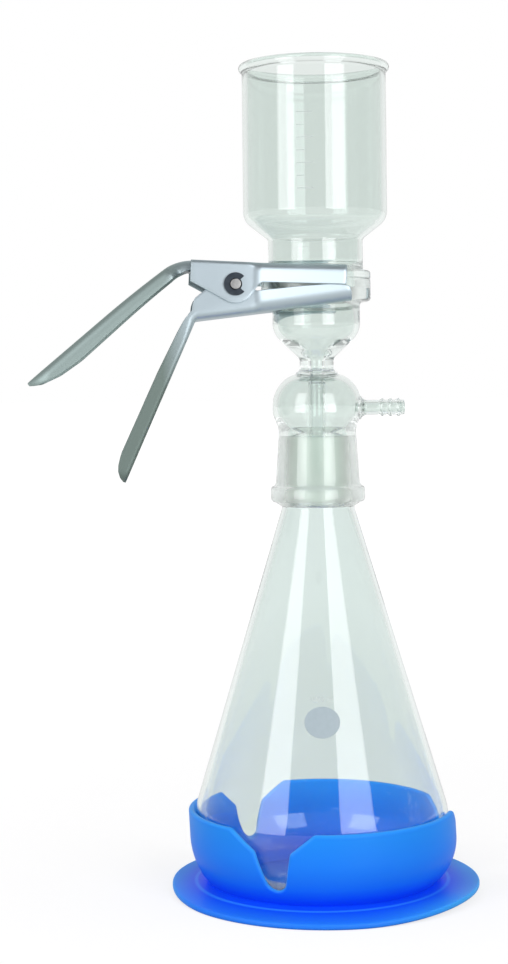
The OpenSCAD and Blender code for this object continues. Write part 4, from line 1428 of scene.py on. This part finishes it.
springSizes = {
    "wire": 1.0,
    "coil": 4.6,
    "pitch": 2.1,
    "turns": 9,
    "turnSteps": 40,
    "legSteps": 13,
    "legTurn": 24.0,  # the upper leg touches the jaw this far round its bend
    "legPast": 4.0,
    "gap": 0.15,
    "span": 9.5,
    "around": 16,
}


# a tube: circles of the wire's radius in the plane across the path, with a point at both ends
def tubeMesh(path, radius, around):
    along = np.gradient(path, axis=0)
    along /= np.linalg.norm(along, axis=1)[:, None]
    side = np.tile([0.0, 1.0, 0.0], (len(path), 1))
    side -= along * np.sum(side * along, 1)[:, None]
    side /= np.linalg.norm(side, axis=1)[:, None]
    other = np.cross(along, side)
    a = circle(around)
    across = np.cos(a)[:, None] * side[:, None] + np.sin(a)[:, None] * other[:, None]
    rings = path[:, None] + radius * across
    first, last = [np.repeat(end, around, 1) for end in (path[:1, None], path[-1:, None])]
    rings = np.concatenate([first, rings, last])
    return rings.reshape(-1, 3), gridFaces(len(rings), around)


# distance and direction from the pin of the centre of a jaw's bend, in the clamp's flat frame
def bendCentre(x, z, tilt):
    t = math.radians(tilt)
    x, z = x * math.cos(t) + z * math.sin(t), z * math.cos(t) - x * math.sin(t)
    return math.hypot(x, z), math.atan2(z, x)


# path in the clamp's flat frame: the lower leg's end, the coil round the pin, the upper leg's end;
# both legs leave the coil along its tangent
def springPath(s, c, up, low):
    def leg(start, lengths, angle):
        return start + lengths[:, None] * np.array([math.cos(angle), 0.0, math.sin(angle)])

    q, clear = math.radians(s["legTurn"]), c["sheet"] + s["wire"] + s["gap"]
    under, over = up["kink"] - clear, low["turn"] + clear
    far, angle = bendCentre(c["earEnd"] + up["lead"] - under * math.sin(q),
                            up["web"] - up["kink"] + under * math.cos(q), c["upperTilt"])
    upAngle, upLength = angle + math.asin(s["coil"] / far), math.sqrt(far ** 2 - s["coil"] ** 2)
    far, angle = bendCentre(c["earEnd"] + low["lead"], -low["web"] - low["turn"], c["lowerTilt"])
    lowAngle = angle + 1.5 * math.pi + math.acos((s["coil"] + over) / far)
    lowLength = far * math.cos(angle - lowAngle) + s["legPast"]
    a = np.linspace(lowAngle - 1.5 * math.pi, upAngle - 0.5 * math.pi + 2 * math.pi * s["turns"],
                    s["turnSteps"] * s["turns"])
    y = (np.linspace(0, 1, len(a)) - 0.5) * s["pitch"] * (a[-1] - a[0]) / (2 * math.pi)
    coil = np.column_stack([s["coil"] * np.cos(a), y, s["coil"] * np.sin(a)])
    return np.vstack([leg(coil[0], np.linspace(lowLength, 0, s["legSteps"])[:-1], lowAngle), coil,
                      leg(coil[-1], np.linspace(0, upLength, s["legSteps"])[1:], upAngle)])


springLine = springPath(springSizes, clampSizes, upperSizes, lowerSizes)
springVerts, springFaces = tubeMesh(springLine, springSizes["wire"], springSizes["around"])
torsionCoil = makePiece("torsionCoil", placeClamp(springVerts), springFaces, [springSteel], sharp=50)
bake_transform(torsionCoil)
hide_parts("torsion_spring")
print("small parts made")

studio = {
    # each level of the white surroundings runs from low to high between two values of a direction's Y
    "gloss": (0.17, 0.8, -0.5, 0.98),
    "glass": (0.35, 1.0, 0.1, 0.9),
    "matt": (0.35, 0.95),
    "floorHalf": 20.0,
    "paint": (0.3, 0.3, 0.3, 1),
    "glow": (0.76, 0.92, 0.15, 1.4),
    "floorGloss": 0.65,
    "stripDistance": 1.5,
    "strips": (("left strip", -46.0, 0.75), ("right strip", 33.4, 0.87)),  # degrees from the front, and width
    "height": 1.6,
    "middle": 0.75,
    "radiance": 3.5,
    "colour": (0.99, 0.965, 1.0),
    "bounces": 32,
}

world = bpy.data.worlds.new("studio")
bpy.context.scene.world = world
world.use_nodes = True
tree = world.node_tree
background = tree.nodes["Background"].inputs
background["Color"].default_value = (1, 1, 1, 1)
ray = tree.nodes.new("ShaderNodeLightPath").outputs
parts = split(tree, tree.nodes.new("ShaderNodeTexCoord").outputs["Generated"])
# the studio is a little darker on its near side, where it shows in gloss and through glass;
# matt surfaces get more light from the sides than from front and back
sides = mathNode(tree, "MULTIPLY", parts["X"], parts["X"])
level = ray["Is Camera Ray"]
for kind, brightness in (("Is Glossy Ray", ranged(tree, parts["Y"], *studio["gloss"])),
                         ("Is Transmission Ray", ranged(tree, parts["Y"], *studio["glass"])),
                         ("Is Diffuse Ray", ranged(tree, sides, *studio["matt"]))):
    level = mathNode(tree, "MAXIMUM", level, mathNode(tree, "MULTIPLY", ray[kind], brightness))
tree.links.new(level, background["Strength"])

floorMaterial = bpy.data.materials.new("white floor")
floorMaterial.use_nodes = True
tree = floorMaterial.node_tree
tree.nodes.clear()
paint, glow, both, output, away = [tree.nodes.new(kind) for kind in (
    "ShaderNodeBsdfDiffuse", "ShaderNodeEmission", "ShaderNodeAddShader", "ShaderNodeOutputMaterial",
    "ShaderNodeVectorMath")]
paint.inputs["Color"].default_value = studio["paint"]
ray = tree.nodes.new("ShaderNodeLightPath").outputs
seen = mathNode(tree, "MAXIMUM", mathNode(tree, "MAXIMUM", ray["Is Camera Ray"], ray["Is Transmission Ray"]),
                mathNode(tree, "MULTIPLY", ray["Is Glossy Ray"], studio["floorGloss"]))
# the glow makes up for the lamps' fall with distance, so that the floor stays white and keeps the shadow
away.operation = "LENGTH"
tree.links.new(tree.nodes.new("ShaderNodeTexCoord").outputs["Object"], away.inputs[0])
glowLevel = mathNode(tree, "MULTIPLY", seen, ranged(tree, away.outputs["Value"], *studio["glow"]))
for start, end in ((glowLevel, glow.inputs["Strength"]), (paint.outputs[0], both.inputs[0]),
                   (glow.outputs[0], both.inputs[1]), (both.outputs[0], output.inputs["Surface"])):
    tree.links.new(start, end)
floorMesh = bpy.data.meshes.new("floor")
half = studio["floorHalf"]
corners = [(-half, -half, 0), (half, -half, 0), (half, half, 0), (-half, half, 0)]
floorMesh.from_pydata(corners, [], [(0, 1, 2, 3)])
floorMesh.materials.append(floorMaterial)
floor = addObject("floor", floorMesh)


def addStrip(s, name, azimuth, width):
    data = bpy.data.lights.new(name, "AREA")
    data.shape = "RECTANGLE"
    data.size, data.size_y = width, s["height"]
    data.color = s["colour"]
    data.energy = s["radiance"] * width * s["height"] * math.pi  # watts for that radiance
    lamp = addObject(name, data)
    a = math.radians(azimuth)
    away = Vector((math.sin(a), -math.cos(a), 0)) * s["stripDistance"]
    lamp.location = away + Vector((0, 0, s["middle"]))
    lamp.rotation_euler = away.to_track_quat("Z", "Y").to_euler()


for strip in studio["strips"]:
    addStrip(studio, *strip)

scene = bpy.context.scene
scene.view_settings.view_transform = "Standard"
scene.cycles.max_bounces = studio["bounces"]
scene.cycles.transmission_bounces = studio["bounces"]
scene.cycles.glossy_bounces = studio["bounces"]
for piece in (flaskGlass, supportGlass, funnelGlass):
    piece.visible_shadow = False
print("studio made")
